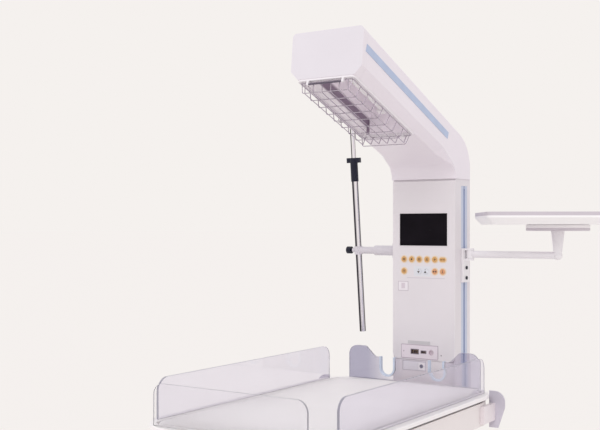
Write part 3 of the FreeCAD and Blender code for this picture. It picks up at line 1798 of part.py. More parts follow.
screw = rod("iv_screw", "X", "iv_screw_r", "-knob_in-1", "rail_y", "iv_z", "knob_in+1-pole_x-pole_r-screw_tip")
head_knob = rod("iv_knob_head", "X", "knob_r", "-knob_out", "rail_y", "iv_z", "knob_out-knob_in")
node(join("iv_knob", head_knob, screw))

pole = take(
    "iv_pole",
    rod("pole_outer", "Z", "pole_r", "0", "0", "pole_low", "pole_high-pole_low"),
    rod("pole_inner", "Z", "pole_bore", "0", "0", "pole_low+pole_end", "pole_high-pole_low"),
)
node(pole, "-pole_x", "rail_y", "iv_z", LEAN)

mast = rod("mast", "Z", "rod_thin", "0", "0", "rod_low", "rod_high-rod_low")
hooks = [mast]
for name, axis in (("a", "X"), ("b", "Y")):
    start = {"X": ("-hook_reach", "0"), "Y": ("0", "-hook_reach")}[axis]
    hooks.append(rod(f"hook_bar_{name}", axis, "hook_r", *start, "hook_up", "2*hook_reach"))
for name, x, y in (("a", "-hook_reach", "0"), ("b", "hook_reach", "0"), ("c", "0", "-hook_reach"), ("d", "0", "hook_reach")):
    hooks.append(rod(f"hook_tip_{name}", "Z", "hook_r", x, y, "hook_up-hook_r", "hook_lift"))
node(join("iv_rod", *hooks), "-pole_x", "rail_y", "iv_z", LEAN)

sleeve = rod("collar_sleeve", "Z", "collar_r", "0", "0", "collar_low", "collar_high-collar_low")
wings = block(
    "collar_wings",
    "-wing_half",
    "wing_half",
    "-wing_thick/2",
    "wing_thick/2",
    "collar_high-wing_tall",
    "collar_high",
)
holes = join(
    "collar_bores",
    rod("collar_wide", "Z", "pole_r+run", "0", "0", "collar_low-1", "pole_high+seat-collar_low+1"),
    rod("collar_thin", "Z", "rod_thin+run", "0", "0", "collar_low", "collar_high-collar_low+1"),
)
node(take("iv_collar", join("collar_full", sleeve, wings), holes), "-pole_x", "rail_y", "iv_z", LEAN)

# swivel tray

foot_block = block(
    "tray_foot",
    "col_x+seat",
    "mount_out",
    "rail_y-mount_half",
    "rail_y+mount_half",
    "mount_low",
    "mount_top",
)
lugs = []
for name, z0, z1 in (("low", "swing_low-lug_thick", "swing_low-seat"), ("top", "swing_top+seat", "mount_top")):
    lugs.append(block(f"lug_{name}", "mount_out-1", "swing_x", "rail_y-swing_r", "rail_y+swing_r", z0, z1))
    lugs.append(rod(f"lug_end_{name}", "Z", "swing_r", "swing_x", "rail_y", z0, f"{z1}-({z0})"))
swing_pin = rod("swing_pin_rod", "Z", "swing_pin", "swing_x", "rail_y", "swing_low-1", "swing_top-swing_low+2")
node(join("tray_bracket", foot_block, *lugs, swing_pin))

bolts = [
    rod(f"bolt_{name}", "X", "bolt_r", "mount_out+fit", "rail_y", z, "bolt_tall")
    for name, z in (("a", "bolt_a"), ("b", "bolt_b"))
]
node(join("bracket_screws", *bolts))

knuckle = rod("arm_knuckle", "Z", "swing_r-swing_fit", "0", "0", "swing_low", "swing_top-swing_low")
knuckle_bore = rod("arm_bore", "Z", "swing_pin+run", "0", "0", "swing_low-1", "swing_top-swing_low+2")
tube = rod("arm_tube", "X", "tray_arm_r", "swing_pin+2", "0", "arm_z", "post_at-swing_x-swing_pin-2")
elbow = doc.addObject("Part::Sphere", "arm_elbow")
elbow.setExpression("Radius", linked("elbow_r"))
elbow.setExpression("Placement.Base.x", linked("post_at-swing_x"))
elbow.setExpression("Placement.Base.z", linked("arm_z"))
post = rod("arm_post", "Z", "post_foot_r", "post_at-swing_x", "0", "arm_z", "post_top-arm_z", "post_head_r")
pivot = rod("arm_pivot", "Z", "pivot_r", "post_at-swing_x", "0", "post_top-1", "pivot_tall+1-seat")
swing = join("tray_arm_full", take("arm_eye", join("arm_run", knuckle, tube), knuckle_bore), elbow, post, pivot)
swing.Label = "tray_arm"
node(swing, "swing_x", "rail_y", "0")

disc = doc.addObject("PartDesign::Body", "tray_disc")
pad(disc, "XY", [("circle", "0", "0", "disc_r")], "disc_low", "disc_top")
ease(disc, "disc_round", lambda edge: edge.BoundBox.ZMin > s.disc_top - 1e-3 or edge.BoundBox.ZMax < s.post_top + 1)
pocket(disc, "XY", [("circle", "0", "0", "pivot_r+run")], "post_top", "disc_low+pivot_tall")
TRAY = FreeCAD.Rotation(Vector(0, 0, 1), s.tray_turn)
node(disc, "post_at", "rail_y", "0", TRAY)

dish = plate(
    "tray_body",
    "XY",
    box_loop("tray_shift-tray_x", "tray_shift+tray_x", "-tray_y", "tray_y"),
    "tray_low",
    "tray_top",
    "tray_round",
)
ease(dish, "tray_taper", lambda edge: edge.BoundBox.ZMax < s.tray_low + 1e-3, "Chamfer")
wells = [
    plate(
        f"tray_space_{step}",
        "XY",
        box_loop(f"tray_shift-tray_x+{step}", f"tray_shift+tray_x-{step}", f"-tray_y+{step}", f"tray_y-{step}"),
        low,
        "tray_top+1",
        corner,
    )
    for step, low, corner in (
        ("tray_rim", "tray_ledge", "tray_round-tray_rim"),
        ("tray_well", "tray_floor", "tray_round/3"),
    )
]
node(take("tray", dish, join("tray_spaces", *wells)), "post_at", "rail_y", "0", TRAY)

# checks and files

doc.recompute()
for item in doc.Objects:
    if "Invalid" in item.State or "Error" in item.State:
        raise RuntimeError(f"{item.Label} did not build")
for made in NODES:
    if made.Shape.isNull() or not made.Shape.isValid():
        raise RuntimeError(f"{made.Label} has no valid shape")
    made.Shape.exportStep(f"parts/{made.Label}.step")
print(len(NODES), "sub-parts")
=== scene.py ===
import math
import bpy
import numpy as np
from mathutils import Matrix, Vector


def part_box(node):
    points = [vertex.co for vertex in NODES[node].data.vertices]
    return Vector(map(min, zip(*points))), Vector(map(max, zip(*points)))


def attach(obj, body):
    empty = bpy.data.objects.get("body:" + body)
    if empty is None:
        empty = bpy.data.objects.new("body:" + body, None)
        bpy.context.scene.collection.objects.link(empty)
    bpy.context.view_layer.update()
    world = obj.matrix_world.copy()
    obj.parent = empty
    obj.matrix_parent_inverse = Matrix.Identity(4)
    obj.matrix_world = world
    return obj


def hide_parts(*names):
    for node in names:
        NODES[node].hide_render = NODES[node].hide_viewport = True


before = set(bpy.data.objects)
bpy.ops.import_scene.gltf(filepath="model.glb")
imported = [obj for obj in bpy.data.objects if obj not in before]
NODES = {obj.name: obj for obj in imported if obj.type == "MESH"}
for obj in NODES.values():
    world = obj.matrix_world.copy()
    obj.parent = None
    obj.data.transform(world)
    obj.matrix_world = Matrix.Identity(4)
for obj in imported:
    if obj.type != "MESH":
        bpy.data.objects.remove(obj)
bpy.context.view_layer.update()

# An open-care infant warmer in a pale studio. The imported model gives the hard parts;
# this file gives every part its finish and adds the mattress, the key symbols and the
# socket pins. Metres, +Z up, -Y towards the foot of the bed.


# shapes

def middle_and_half(name):
    """Middle and half size of a part's box, three numbers each."""
    low, high = (np.array(corner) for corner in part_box(name))
    return (low + high) / 2, (high - low) / 2


def rounded_outline(half_x, half_y, radius, count):
    """Points round a rectangle with round corners, equally spaced. A quarter is a straight
    run, an arc x = half_x - r + r cos a, y = half_y - r + r sin a, and a straight run; the
    other quarters mirror it."""
    side, arc, top = half_y - radius, math.pi * radius / 2, half_x - radius
    quarter = side + arc + top
    run = np.arange(count) / count * 4 * quarter
    part = (run // quarter).astype(int)
    rest = run - part * quarter
    rest = np.where(part % 2 == 1, quarter - rest, rest)
    angle = np.clip((rest - side) / radius, 0, math.pi / 2)
    on_top = half_x - radius - (rest - side - arc)
    x = np.where(rest < side + arc, half_x - radius + radius * np.cos(angle), on_top)
    y = np.where(rest < side, rest, half_y - radius + radius * np.sin(angle))
    x = x * np.where((part == 1) | (part == 2), -1, 1)
    y = y * np.where(part >= 2, -1, 1)
    return np.stack([x, y], axis=1)


def closed_skin(rings):
    """Vertices and faces of a closed skin over rings of points, shape (m, n, 3). Point j of
    ring i meets point j + 1 of ring i + 1, and the first and last ring meet at their means."""
    m, n = rings.shape[:2]
    grid = np.arange(m * n).reshape(m, n)
    a, b = grid[:-1], np.roll(grid[:-1], -1, axis=1)
    c, d = np.roll(grid[1:], -1, axis=1), grid[1:]
    quads = np.stack([a, b, c, d], axis=2).reshape(-1, 4)
    first, last = m * n, m * n + 1
    start = np.stack([np.full(n, first), np.roll(grid[0], -1), grid[0]], axis=1)
    end = np.stack([np.full(n, last), grid[-1], np.roll(grid[-1], -1)], axis=1)
    points = np.concatenate([rings.reshape(-1, 3), [rings[0].mean(0), rings[-1].mean(0)]])
    return points, [quads, start, end]


def piece(name, skins, body, material, smooth=True):
    """One object made of closed skins, riding on a body."""
    points, faces, offset = [], [], 0
    for skin_points, groups in skins:
        points.append(skin_points)
        for group in groups:
            faces += (group + offset).tolist()
        offset += len(skin_points)
    mesh = bpy.data.meshes.new(name)
    mesh.from_pydata(np.concatenate(points).tolist(), [], faces)
    mesh.update()
    mesh.polygons.foreach_set("use_smooth", np.full(len(mesh.polygons), smooth))
    mesh.materials.append(material)
    made = bpy.data.objects.new(name, mesh)
    bpy.context.scene.collection.objects.link(made)
    if body:
        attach(made, body)
    return made


# the parts of a finish

class Finish:
    """A material being built: its node tree, its main shader and short ways to add nodes."""

    def __init__(self, name, colour, roughness, metallic=0.0):
        self.material = bpy.data.materials.new(name)
        self.material.use_nodes = True
        self.tree = self.material.node_tree
        self.shader = self.tree.nodes["Principled BSDF"]
        self.shader.inputs["Base Color"].default_value = (*colour, 1)
        self.shader.inputs["Roughness"].default_value = roughness
        self.shader.inputs["Metallic"].default_value = metallic
        self.colour = colour
        coordinates = self.add("ShaderNodeTexCoord")
        self.place, self.normal = coordinates.outputs["Object"], coordinates.outputs["Normal"]
        self.height = None

    def add(self, kind, **settings):
        """A new node with the settings given."""
        made = self.tree.nodes.new(kind)
        for key, value in settings.items():
            setattr(made, key, value)
        return made

    def link(self, source, target):
        """Joins an output to an input."""
        self.tree.links.new(source, target)

    def put(self, **values):
        """Plain numbers on the main shader's own sockets, such as coat_weight=0.2."""
        for key, value in values.items():
            socket = key.replace("_", " ").title().replace("Ior", "IOR")
            self.shader.inputs[socket].default_value = value
        return self

    def math(self, operation, a, b=None, c=None):
        """A Math node over sockets or numbers."""
        made = self.add("ShaderNodeMath", operation=operation)
        for socket, value in zip(made.inputs, (a, b, c)):
            if value is None:
                continue
            if isinstance(value, (int, float)):
                socket.default_value = value
            else:
                self.link(value, socket)
        return made.outputs[0]

    def length(self, a, b):
        """Length of the flat vector (a, b)."""
        squares = self.math("ADD", self.math("MULTIPLY", a, a), self.math("MULTIPLY", b, b))
        return self.math("SQRT", squares)

    def noise(self, scale, detail=3.0, stretch=None):
        """Cloudy pattern with `scale` features per metre, from 0 to 1."""
        made = self.add("ShaderNodeTexNoise")
        made.inputs["Scale"].default_value = scale
        made.inputs["Detail"].default_value = detail
        source = self.place
        if stretch:
            mapping = self.add("ShaderNodeMapping")
            mapping.inputs["Scale"].default_value = stretch
            self.link(source, mapping.inputs["Vector"])
            source = mapping.outputs["Vector"]
        self.link(source, made.inputs["Vector"])
        return made.outputs["Fac"]

    def spread(self, socket, low, high, start=0.3, end=0.7):
        """The pattern's usual range, start to end, stretched from low to high."""
        made = self.add("ShaderNodeMapRange")
        ranges = {"From Min": start, "From Max": end, "To Min": low, "To Max": high}
        for name, value in ranges.items():
            made.inputs[name].default_value = value
        self.link(socket, made.inputs["Value"])
        return made.outputs["Result"]

    def axis(self, letter, vector=None):
        """One coordinate of the place on the object, or of another vector."""
        made = self.add("ShaderNodeSeparateXYZ")
        self.link(vector or self.place, made.inputs[0])
        return made.outputs[letter]

    def inside(self, socket, middle, half, soft=0.0006):
        """1 within `half` of `middle`, falling to 0 over `soft`."""
        away = self.math("ABSOLUTE", self.math("SUBTRACT", socket, middle))
        return self.spread(away, 1.0, 0.0, half - soft, half + soft)

    def patch(self, x, z, half_x, half_z):
        """1 within an upright rectangle, given its middle and half size."""
        across = self.inside(self.axis("X"), x, half_x)
        up = self.inside(self.axis("Z"), z, half_z)
        return self.math("MULTIPLY", across, up)

    def mix(self, factor, first, second):
        """Colour from first at 0 to second at 1."""
        made = self.add("ShaderNodeMix", data_type="RGBA")
        self.link(factor, made.inputs["Factor"])
        for socket, value in ((made.inputs[6], first), (made.inputs[7], second)):
            if isinstance(value, tuple):
                socket.default_value = (*value, 1)
            else:
                self.link(value, socket)
        return made.outputs[2]

    def tint(self, amount, scale, colour=None):
        """Slow drift of the colour, darker and lighter by `amount`."""
        base = colour if colour is not None else self.colour
        drift = self.spread(self.noise(scale, 4.0), 0.0, 1.0)
        if isinstance(base, tuple):
            low = tuple(c * (1 - amount) for c in base)
            high = tuple(min(1.0, c * (1 + amount)) for c in base)
            made = self.mix(drift, low, high)
        else:
            shade = self.add("ShaderNodeHueSaturation")
            value = self.math("MULTIPLY_ADD", drift, 2 * amount, 1 - amount)
            self.link(value, shade.inputs["Value"])
            self.link(base, shade.inputs["Color"])
            made = shade.outputs["Color"]
        self.link(made, self.shader.inputs["Base Color"])
        return self

    def gloss(self, low, high, scale, stretch=None):
        """Roughness that wanders from low to high."""
        wander = self.spread(self.noise(scale, 4.0, stretch), low, high)
        self.link(wander, self.shader.inputs["Roughness"])
        return self

    def grain(self, socket, depth, strength=1.0):
        """Relief of `depth` metres, laid over any relief there already."""
        bump = self.add("ShaderNodeBump")
        bump.inputs["Distance"].default_value = depth
        bump.inputs["Strength"].default_value = strength
        self.link(socket, bump.inputs["Height"])
        if self.height:
            self.link(self.height, bump.inputs["Normal"])
        self.height = bump.outputs["Normal"]
        self.link(self.height, self.shader.inputs["Normal"])
        return self


DRIFT = 0.012


def painted(name, colour, roughness=0.36, shade=None):
    """Powder paint on steel: a faint orange peel and hardly any drift. A part with more
    than one colour has a function `shade` that gives the colour at each place."""
    made = Finish(name, colour, roughness)
    drift_scale = 9 if shade else 5
    made.tint(DRIFT, drift_scale, shade and shade(made))
    made.gloss(roughness - 0.05, roughness + 0.06, 14)
    made.grain(made.noise(420, 2.0), 0.00012, 0.5)
    return made.grain(made.noise(2600, 1.0), 0.00002, 0.4)


def moulded(name, colour, roughness=0.42, shade=None):
    """Moulded plastic with a fine spark-eroded grain, with `shade` as for paint."""
    made = Finish(name, colour, roughness)
    made.tint(DRIFT, 9, shade and shade(made)).gloss(roughness - 0.05, roughness + 0.05, 22)
    made.grain(made.noise(55, 2.0), 0.00025, 0.15)
    return made.grain(made.noise(2200, 2.0), 0.00004, 0.6)


def metal(name, colour, roughness, stretch=None):
    """Bare or plated metal, with drawing marks along one direction where it has any."""
    made = Finish(name, colour, roughness, 1.0)
    made.tint(0.03, 20).gloss(roughness * 0.7, roughness * 1.4, 60, stretch)
    return made.grain(made.noise(700, 2.0, stretch), 0.00002, 0.35)


def rubber(name, colour):
    """Matt rubber with a dusty bloom."""
    made = Finish(name, colour, 0.65).put(specular_ior_level=0.35)
    made.tint(0.10, 30).gloss(0.55, 0.78, 45)
    return made.grain(made.noise(1500, 3.0), 0.00008, 0.6)


# the plain finishes

WHITE = (0.86, 0.80, 0.86)
BRIGHT = (0.93, 0.895, 0.91)
CREAM = (0.85, 0.79, 0.79)
LILAC = (0.62, 0.565, 0.62)
CHROME_WAY = (1, 1, 0.15)

hood_paint = painted("hood_paint", WHITE)
column_paint = painted("column_paint", (0.775, 0.73, 0.765))
pole_arm_paint = painted("pole_arm_paint", (0.69, 0.65, 0.70))
bracket_plastic = moulded("bracket_plastic", (0.87, 0.84, 0.87))
rear_plastic = moulded("rear_cover_plastic", (0.76, 0.72, 0.755))
deck_plastic = moulded("deck_plastic", BRIGHT, 0.38)
base_plastic = moulded("bed_base_plastic", CREAM)
black_plastic = moulded("black_plastic", (0.009, 0.010, 0.026)).put(specular_ior_level=0.3)
pedal_grey = moulded("pedal_grey", (0.16, 0.165, 0.19), 0.5)
grommet_blue = rubber("grommet_blue", (0.58, 0.64, 0.76))
lock_metal = metal("lock_metal", (0.20, 0.20, 0.27), 0.3)
pin_brass = metal("pin_brass", (0.78, 0.55, 0.28), 0.25)
guard_wire = metal("guard_wire", (0.50, 0.45, 0.52), 0.22)
cassette_metal = metal("cassette_metal", (0.66, 0.66, 0.70), 0.35, (6, 1, 1))
fork_zinc = metal("fork_zinc", (0.60, 0.60, 0.63), 0.34)


# the tray and its turning plate

TRAY_WHITE = (0.965, 0.945, 0.955)
# painted shade: height of the lilac band round the tray's top rim, where the rim lies in shade
SHADED_RIM_TALL = 0.0095
PLATE_WHITE = (0.90, 0.87, 0.89)
PLATE_BAND = 0.0087


def tray_shade(made):
    """White with painted shade along the upper rim: a lilac band, told by height."""
    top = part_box("tray")[1][2]
    # painted shade: the top rim turns lilac above this height
    shaded_rim = made.spread(made.axis("Z"), 0.0, 1.0, top - SHADED_RIM_TALL - 0.0006, top - SHADED_RIM_TALL)
    return made.mix(shaded_rim, TRAY_WHITE, LILAC)


def turning_plate_shade(made):
    """White with a lilac lower half, told by height."""
    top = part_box("tray_disc")[1][2]
    lower = made.spread(made.axis("Z"), 1.0, 0.0, top - PLATE_BAND - 0.0004, top - PLATE_BAND)
    return made.mix(lower, PLATE_WHITE, LILAC)


tray_plastic = moulded("tray_plastic", TRAY_WHITE, 0.36, tray_shade)
disc_plastic = moulded("disc_plastic", PLATE_WHITE, shade=turning_plate_shade)


# the hood: its front cap, its stripes and the frame round the heater

# painted shade: colour of the cap's front face, a little deeper than its sides
CAP_FRONT_SHADE = (0.785, 0.745, 0.80)
FRAME_WHITE = (0.86, 0.82, 0.86)
BAR_DARK = (0.10, 0.08, 0.12)
BAR_Y, BAR_Z = -0.19483, 1.75076
BAR_HALF, BAR_RADIUS = 0.0472, 0.0025


def cap_shade(made):
    """White, with painted shade making the front face a little deeper, which the surface's own
    normal tells.
    """
    # painted shade on the faces that look forward
    front = made.spread(made.axis("Y", made.normal), 1.0, 0.0, -0.85, -0.6)
    return made.mix(front, WHITE, CAP_FRONT_SHADE)


def frame_shade(made):
    """White, with a dark round bar between the two front clips, told by the distance from
    the bar's middle line, which runs level across the hood."""
    middle = middle_and_half("heater_frame")[0]
    along = made.math("ABSOLUTE", made.math("SUBTRACT", made.axis("X"), middle[0]))
    reach = made.length(
        made.math("SUBTRACT", made.axis("Y"), BAR_Y),
        made.math("SUBTRACT", made.axis("Z"), BAR_Z),
    )
    near = made.spread(reach, 1.0, 0.0, BAR_RADIUS - 0.0001, BAR_RADIUS + 0.0001)
    bar = made.math("MULTIPLY", near, made.math("LESS_THAN", along, BAR_HALF))
    return made.mix(bar, FRAME_WHITE, BAR_DARK)


cap_plastic = moulded("hood_cap_plastic", WHITE, shade=cap_shade)
frame_plastic = moulded("heater_frame_plastic", FRAME_WHITE, shade=frame_shade)

stripe_blue = Finish("stripe_blue", (0.45, 0.53, 0.72), 0.34)
stripe_blue.tint(0.05, 25).gloss(0.28, 0.40, 30)
stripe_blue.grain(stripe_blue.noise(900, 2.0), 0.00003, 0.5)


# the rails down the column

RAIL_BLUE = (0.55, 0.595, 0.74)
RAIL_CORE = (0.33, 0.39, 0.57)
CORE_HALF = 0.0059


def rail_finish():
    """Blue strip with a deeper blue core along its middle."""
    made = Finish("rail_blue", RAIL_BLUE, 0.34)
    middle = middle_and_half("column_rails")[0]
    core = made.inside(made.axis("Y"), middle[1], CORE_HALF)
    made.tint(0.03, 12, made.mix(core, RAIL_BLUE, RAIL_CORE)).gloss(0.28, 0.42, 30)
    return made.grain(made.noise(900, 2.0), 0.00003, 0.5)


rail_blue = rail_finish()


# the socket plate, the sockets and the service door

SOCKET_PLATE, PLATE_OUTLINE, PLATE_LINE = (0.82, 0.74, 0.80), (0.50, 0.41, 0.49), 0.0016
SCREW_DARK, SCREW_INSET, SCREW_HALF = (0.35, 0.27, 0.33), 0.0085, (0.0012, 0.0018)
DOOR_GREY, DOOR_OUTLINE, DOOR_LINE = (0.76, 0.735, 0.78), (0.42, 0.38, 0.45), (0.0011, 0.0027)
BADGE_WHITE, BADGE_HALF = (0.90, 0.87, 0.89), (0.0095, 0.0105)
SOCKET_SHADE, SOCKET_PINK = (0.045, 0.03, 0.045), (0.66, 0.56, 0.62)
PORT_WIDE, RIM_DEEP = 0.023, 0.001


def plate_shade(made):
    """Pink-white with a darker outline and a dark screw."""
    middle, half = middle_and_half("connector_plate")
    face = made.patch(middle[0], middle[2], half[0] - PLATE_LINE, half[2] - PLATE_LINE)
    shade = made.mix(face, PLATE_OUTLINE, SOCKET_PLATE)
    screw = made.patch(middle[0] - half[0] + SCREW_INSET, middle[2], *SCREW_HALF)
    return made.mix(screw, shade, SCREW_DARK)


def door_shade(made):
    """Grey-white flap with a shadow line round it and a white escutcheon at the lock."""
    middle, half = middle_and_half("service_door")
    lock = middle_and_half("door_lock")[0]
    face = made.patch(middle[0], middle[2], half[0] - DOOR_LINE[0], half[2] - DOOR_LINE[1])
    badge = made.patch(lock[0], lock[2], *BADGE_HALF)
    return made.mix(badge, made.mix(face, DOOR_OUTLINE, DOOR_GREY), BADGE_WHITE)


def socket_finish():
    """Dark sockets in a pink-white block: the round port at the right end is pale all over,
    and the front rims are a little paler than the hollows."""
    made = Finish("socket_dark", (0.045, 0.035, 0.045), 0.45)
    low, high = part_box("probe_sockets")
    start, rim = high[0] - PORT_WIDE, low[1] + RIM_DEEP
    port = made.spread(made.axis("X"), 0.0, 1.0, start - 0.0005, start + 0.0005)
    front = made.spread(made.axis("Y"), 1.0, 0.0, rim - 0.0002, rim + 0.0002)
    pale = made.math("MAXIMUM", port, made.math("MULTIPLY", front, 0.35))
    made.tint(0.08, 60, made.mix(pale, SOCKET_SHADE, SOCKET_PINK)).gloss(0.4, 0.55, 80)
    return made.grain(made.noise(1800, 2.0), 0.00004, 0.6)


plate_plastic = moulded("plate_plastic", SOCKET_PLATE, shade=plate_shade)
door_paint = painted("door_paint", DOOR_GREY, shade=door_shade)
socket_dark = socket_finish()


# the keys and the control panel

AMBER, CORAL, PEARL = (0.68, 0.37, 0.13), (0.70, 0.33, 0.16), (0.75, 0.765, 0.82)
WARM_RIM, HALO = (0.86, 0.72, 0.55), (0.85, 0.66, 0.44)
HALO_WIDE = 0.0024
KEY_COLOURS = {
    AMBER: [
        "key_mode", "key_set", "key_heater", "key_skin", "key_timer", "key_start", "key_lamp",
    ],
    CORAL: ["key_alarm", "key_power"],
    PEARL: ["key_down", "key_up"],
}
PANEL_WHITE = (0.79, 0.745, 0.775)
FIELD_BLUE, FIELD_HALF = (0.765, 0.765, 0.81), (0.026, 0.0145)
UNDERLINE, UNDERLINE_HALF = (0.012, -0.0195), (0.060, 0.0007)
SCREW_X, SCREW_Z = -0.0835, 1.0335
LABEL_X, LABEL_Z, LABEL_HALF, LABEL_LINE = -0.2045, 1.229, (0.0165, 0.014), 0.0016
ARCH_X, ARCH_Z, ARCH_HALF = -0.1535, 1.0663, (0.0355, 0.0048)


def stadium(made, name):
    """Distance outside a key's outline, negative within: the key is a disc, or two half
    discs with a straight run between them."""
    middle, half = middle_and_half(name)
    side = made.math("ABSOLUTE", made.math("SUBTRACT", made.axis("X"), middle[0]))
    side = made.math("MAXIMUM", made.math("SUBTRACT", side, half[0] - half[2]), 0.0)
    up = made.math("SUBTRACT", made.axis("Z"), middle[2])
    return made.math("SUBTRACT", made.length(side, up), half[2])


def key_finish(name, colour, rim):
    """Key film with a slightly paler rim."""
    made = Finish(name + "_film", colour, 0.35)
    edge = made.spread(stadium(made, name), 0.0, 1.0, -0.0013, -0.0006)
    made.tint(0.06, 130, made.mix(edge, colour, rim)).gloss(0.28, 0.42, 90)
    made.put(coat_weight=0.25, coat_roughness=0.25)
    return made.grain(made.noise(1600, 2.0), 0.00003, 0.5)


def panel_finish():
    """White film: a pale blue field round the arrow keys, a halo round every other key, a
    screw, a thin line under the keys, a framed label and a grey arch over the sockets."""
    made = Finish("panel_film", PANEL_WHITE, 0.40)
    first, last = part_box("key_down")[0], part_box("key_up")[1]
    arrows_x, arrows_z = (first[0] + last[0]) / 2, middle_and_half("key_down")[0][2]
    shade = made.mix(made.patch(arrows_x, arrows_z, *FIELD_HALF), PANEL_WHITE, FIELD_BLUE)
    for name in KEY_COLOURS[AMBER] + KEY_COLOURS[CORAL]:
        halo = made.spread(stadium(made, name), 1.0, 0.0, HALO_WIDE - 0.0008, HALO_WIDE)
        shade = made.mix(halo, shade, HALO)
    half_x, half_z = LABEL_HALF
    for x, z, wide, tall, colour in (
        (SCREW_X, SCREW_Z, 0.0014, 0.0018, (0.22, 0.17, 0.20)),
        (arrows_x + UNDERLINE[0], arrows_z + UNDERLINE[1], *UNDERLINE_HALF, (0.58, 0.54, 0.60)),
        (LABEL_X, LABEL_Z, half_x, half_z, (0.56, 0.49, 0.55)),
        (LABEL_X, LABEL_Z, half_x - LABEL_LINE, half_z - LABEL_LINE, (0.87, 0.82, 0.86)),
        (LABEL_X, LABEL_Z + 0.001, 0.006, 0.008, (0.70, 0.62, 0.68)),
        (ARCH_X, ARCH_Z, *ARCH_HALF, (0.60, 0.575, 0.60)),
    ):
        shade = made.mix(made.patch(x, z, wide, tall), shade, colour)
    made.tint(0.01, 9, shade).gloss(0.34, 0.46, 40)
    return made.grain(made.noise(1900, 2.0), 0.00003, 0.6)


panel_film = panel_finish()

key_ink = Finish("key_ink", (0.05, 0.035, 0.03), 0.5).tint(0.2, 300).gloss(0.4, 0.6, 200)
key_ink.grain(key_ink.noise(2500, 1.0), 0.00001, 0.4)

display_black = Finish("display_black", (0.008, 0.006, 0.009), 0.22)
display_black.put(specular_ior_level=0.05).tint(0.2, 18).gloss(0.16, 0.28, 35)
display_black.grain(display_black.noise(1200, 1.0), 0.000008, 0.3)


# the heater

REFLECTOR = (0.95, 0.88, 0.95)
# painted shade: the dark strip along the reflector's left wall, where the wall lies in shadow
LIP_WHITE, WALL_SHADE_COLOUR = (0.96, 0.92, 0.95), (0.25, 0.185, 0.26)
LIP, WALL_SHADE_WIDE = 0.011, 0.011


def reflector_finish():
    """Pale lilac metal with a painted shade strip along its left wall, inside a white lip."""
    made = Finish("reflector_metal", REFLECTOR, 0.34, 0.05)
    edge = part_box("reflector")[0][0] + LIP
    across = made.axis("X")
    lip = made.spread(across, 1.0, 0.0, edge - 0.001, edge + 0.001)
    # painted shade: a dark strip beside the lip, where the left wall lies in shadow
    wall_shade = made.spread(across, 1.0, 0.0, edge + WALL_SHADE_WIDE - 0.003, edge + WALL_SHADE_WIDE)
    shade = made.mix(wall_shade, REFLECTOR, WALL_SHADE_COLOUR)
    made.tint(0.05, 18, made.mix(lip, shade, LIP_WHITE)).gloss(0.28, 0.42, 24)
    made.grain(made.noise(14, 2.0), 0.0004, 0.25)
    return made.grain(made.noise(900, 2.0), 0.00003, 0.4)


reflector_metal = reflector_finish()

heater_tube = Finish("heater_tube", (0.97, 0.95, 0.96), 0.3)
heater_tube.tint(0.02, 90).gloss(0.22, 0.42, 60)
heater_tube.grain(heater_tube.noise(900, 3.0, (0.2, 1, 1)), 0.00008, 0.6)


# the clear panels and the corner grips

SAWN = (0.72, 0.69, 0.82)
LEFT_END, RIGHT_END = (0.46, 0.45, 0.575), (0.62, 0.595, 0.70)
LEFT_FADE, RIGHT_FADE = (0.06, 0.18), (0.13, 0.05)
GRIP_GREY, GRIP_PALE = (0.59, 0.555, 0.635), (0.83, 0.76, 0.79)
GRIP_PLATE = 0.005


def head_panel_ends(made, face):
    """The tint deepens towards the left and right ends of the head panel."""
    low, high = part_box("head_panel")
    across = made.axis("X")
    left = made.spread(across, 1.0, 0.0, low[0] + LEFT_FADE[0], low[0] + LEFT_FADE[1])
    right = made.spread(across, 0.0, 1.0, high[0] - RIGHT_FADE[0], high[0] - RIGHT_FADE[1])
    return made.mix(right, made.mix(left, face, LEFT_END), RIGHT_END)


def clear_sheet(name, tint, edge, thin_axis, ends=None):
    """Clear acrylic: faint tint through the faces, deeper where the sawn edge shows, which
    the surface's own normal tells."""
    made = Finish(name, tint, 0.03)
    made.put(transmission_weight=1.0, ior=1.49, specular_ior_level=0.5)
    facing = made.math("ABSOLUTE", made.axis(thin_axis, made.normal))
    rim = made.spread(facing, 1.0, 0.0, 0.35, 0.75)
    cloud = made.spread(made.noise(6, 3.0), 0.0, 1.0)
    deep, light = tuple(c * 0.985 for c in tint), tuple(min(1.0, c * 1.01) for c in tint)
    face = made.mix(cloud, deep, light)
    if ends:
        face = ends(made, face)
    polish = made.spread(made.noise(240, 4.0), 0.015, 0.05)
    rough = made.math("MAXIMUM", made.math("MULTIPLY", rim, 0.35), polish)
    clear = made.math("SUBTRACT", 1.0, made.math("MULTIPLY", rim, 0.45))
    made.link(made.mix(rim, face, edge), made.shader.inputs["Base Color"])
    made.link(rough, made.shader.inputs["Roughness"])
    made.link(clear, made.shader.inputs["Transmission Weight"])
    return made.grain(made.noise(1.8, 1.0), 0.0015, 0.12)


def grip_finish():
    """Grey grips on paler mounting plates, told by the depth from the rear."""
    made = Finish("grip_grey", GRIP_GREY, 0.35)
    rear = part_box("rear_grips")[1][1] - GRIP_PLATE
    plate = made.spread(made.axis("Y"), 1.0, 0.0, rear - 0.0003, rear)
    made.tint(0.04, 20, made.mix(plate, GRIP_GREY, GRIP_PALE)).gloss(0.3, 0.45, 30)
    return made.grain(made.noise(1700, 2.0), 0.00004, 0.5)


side_sheet = clear_sheet("side_panel_clear", (0.90, 0.88, 0.945), SAWN, "X")
head_sheet = clear_sheet("head_panel_clear", (0.975, 0.955, 0.985), SAWN, "Y", head_panel_ends)
foot_sheet = clear_sheet("foot_panel_clear", (0.965, 0.96, 0.975), (0.84, 0.82, 0.90), "Y")
grip_grey = grip_finish()


# the pole and the wheels

# painted reflection: level direction that sets where the chrome's painted dark and bright bands
# run
REFLECTION_TURN = math.radians(-50)
HUB_GREY, TREAD_DARK, TREAD_WALL = (0.62, 0.61, 0.63), (0.11, 0.11, 0.13), 0.0145


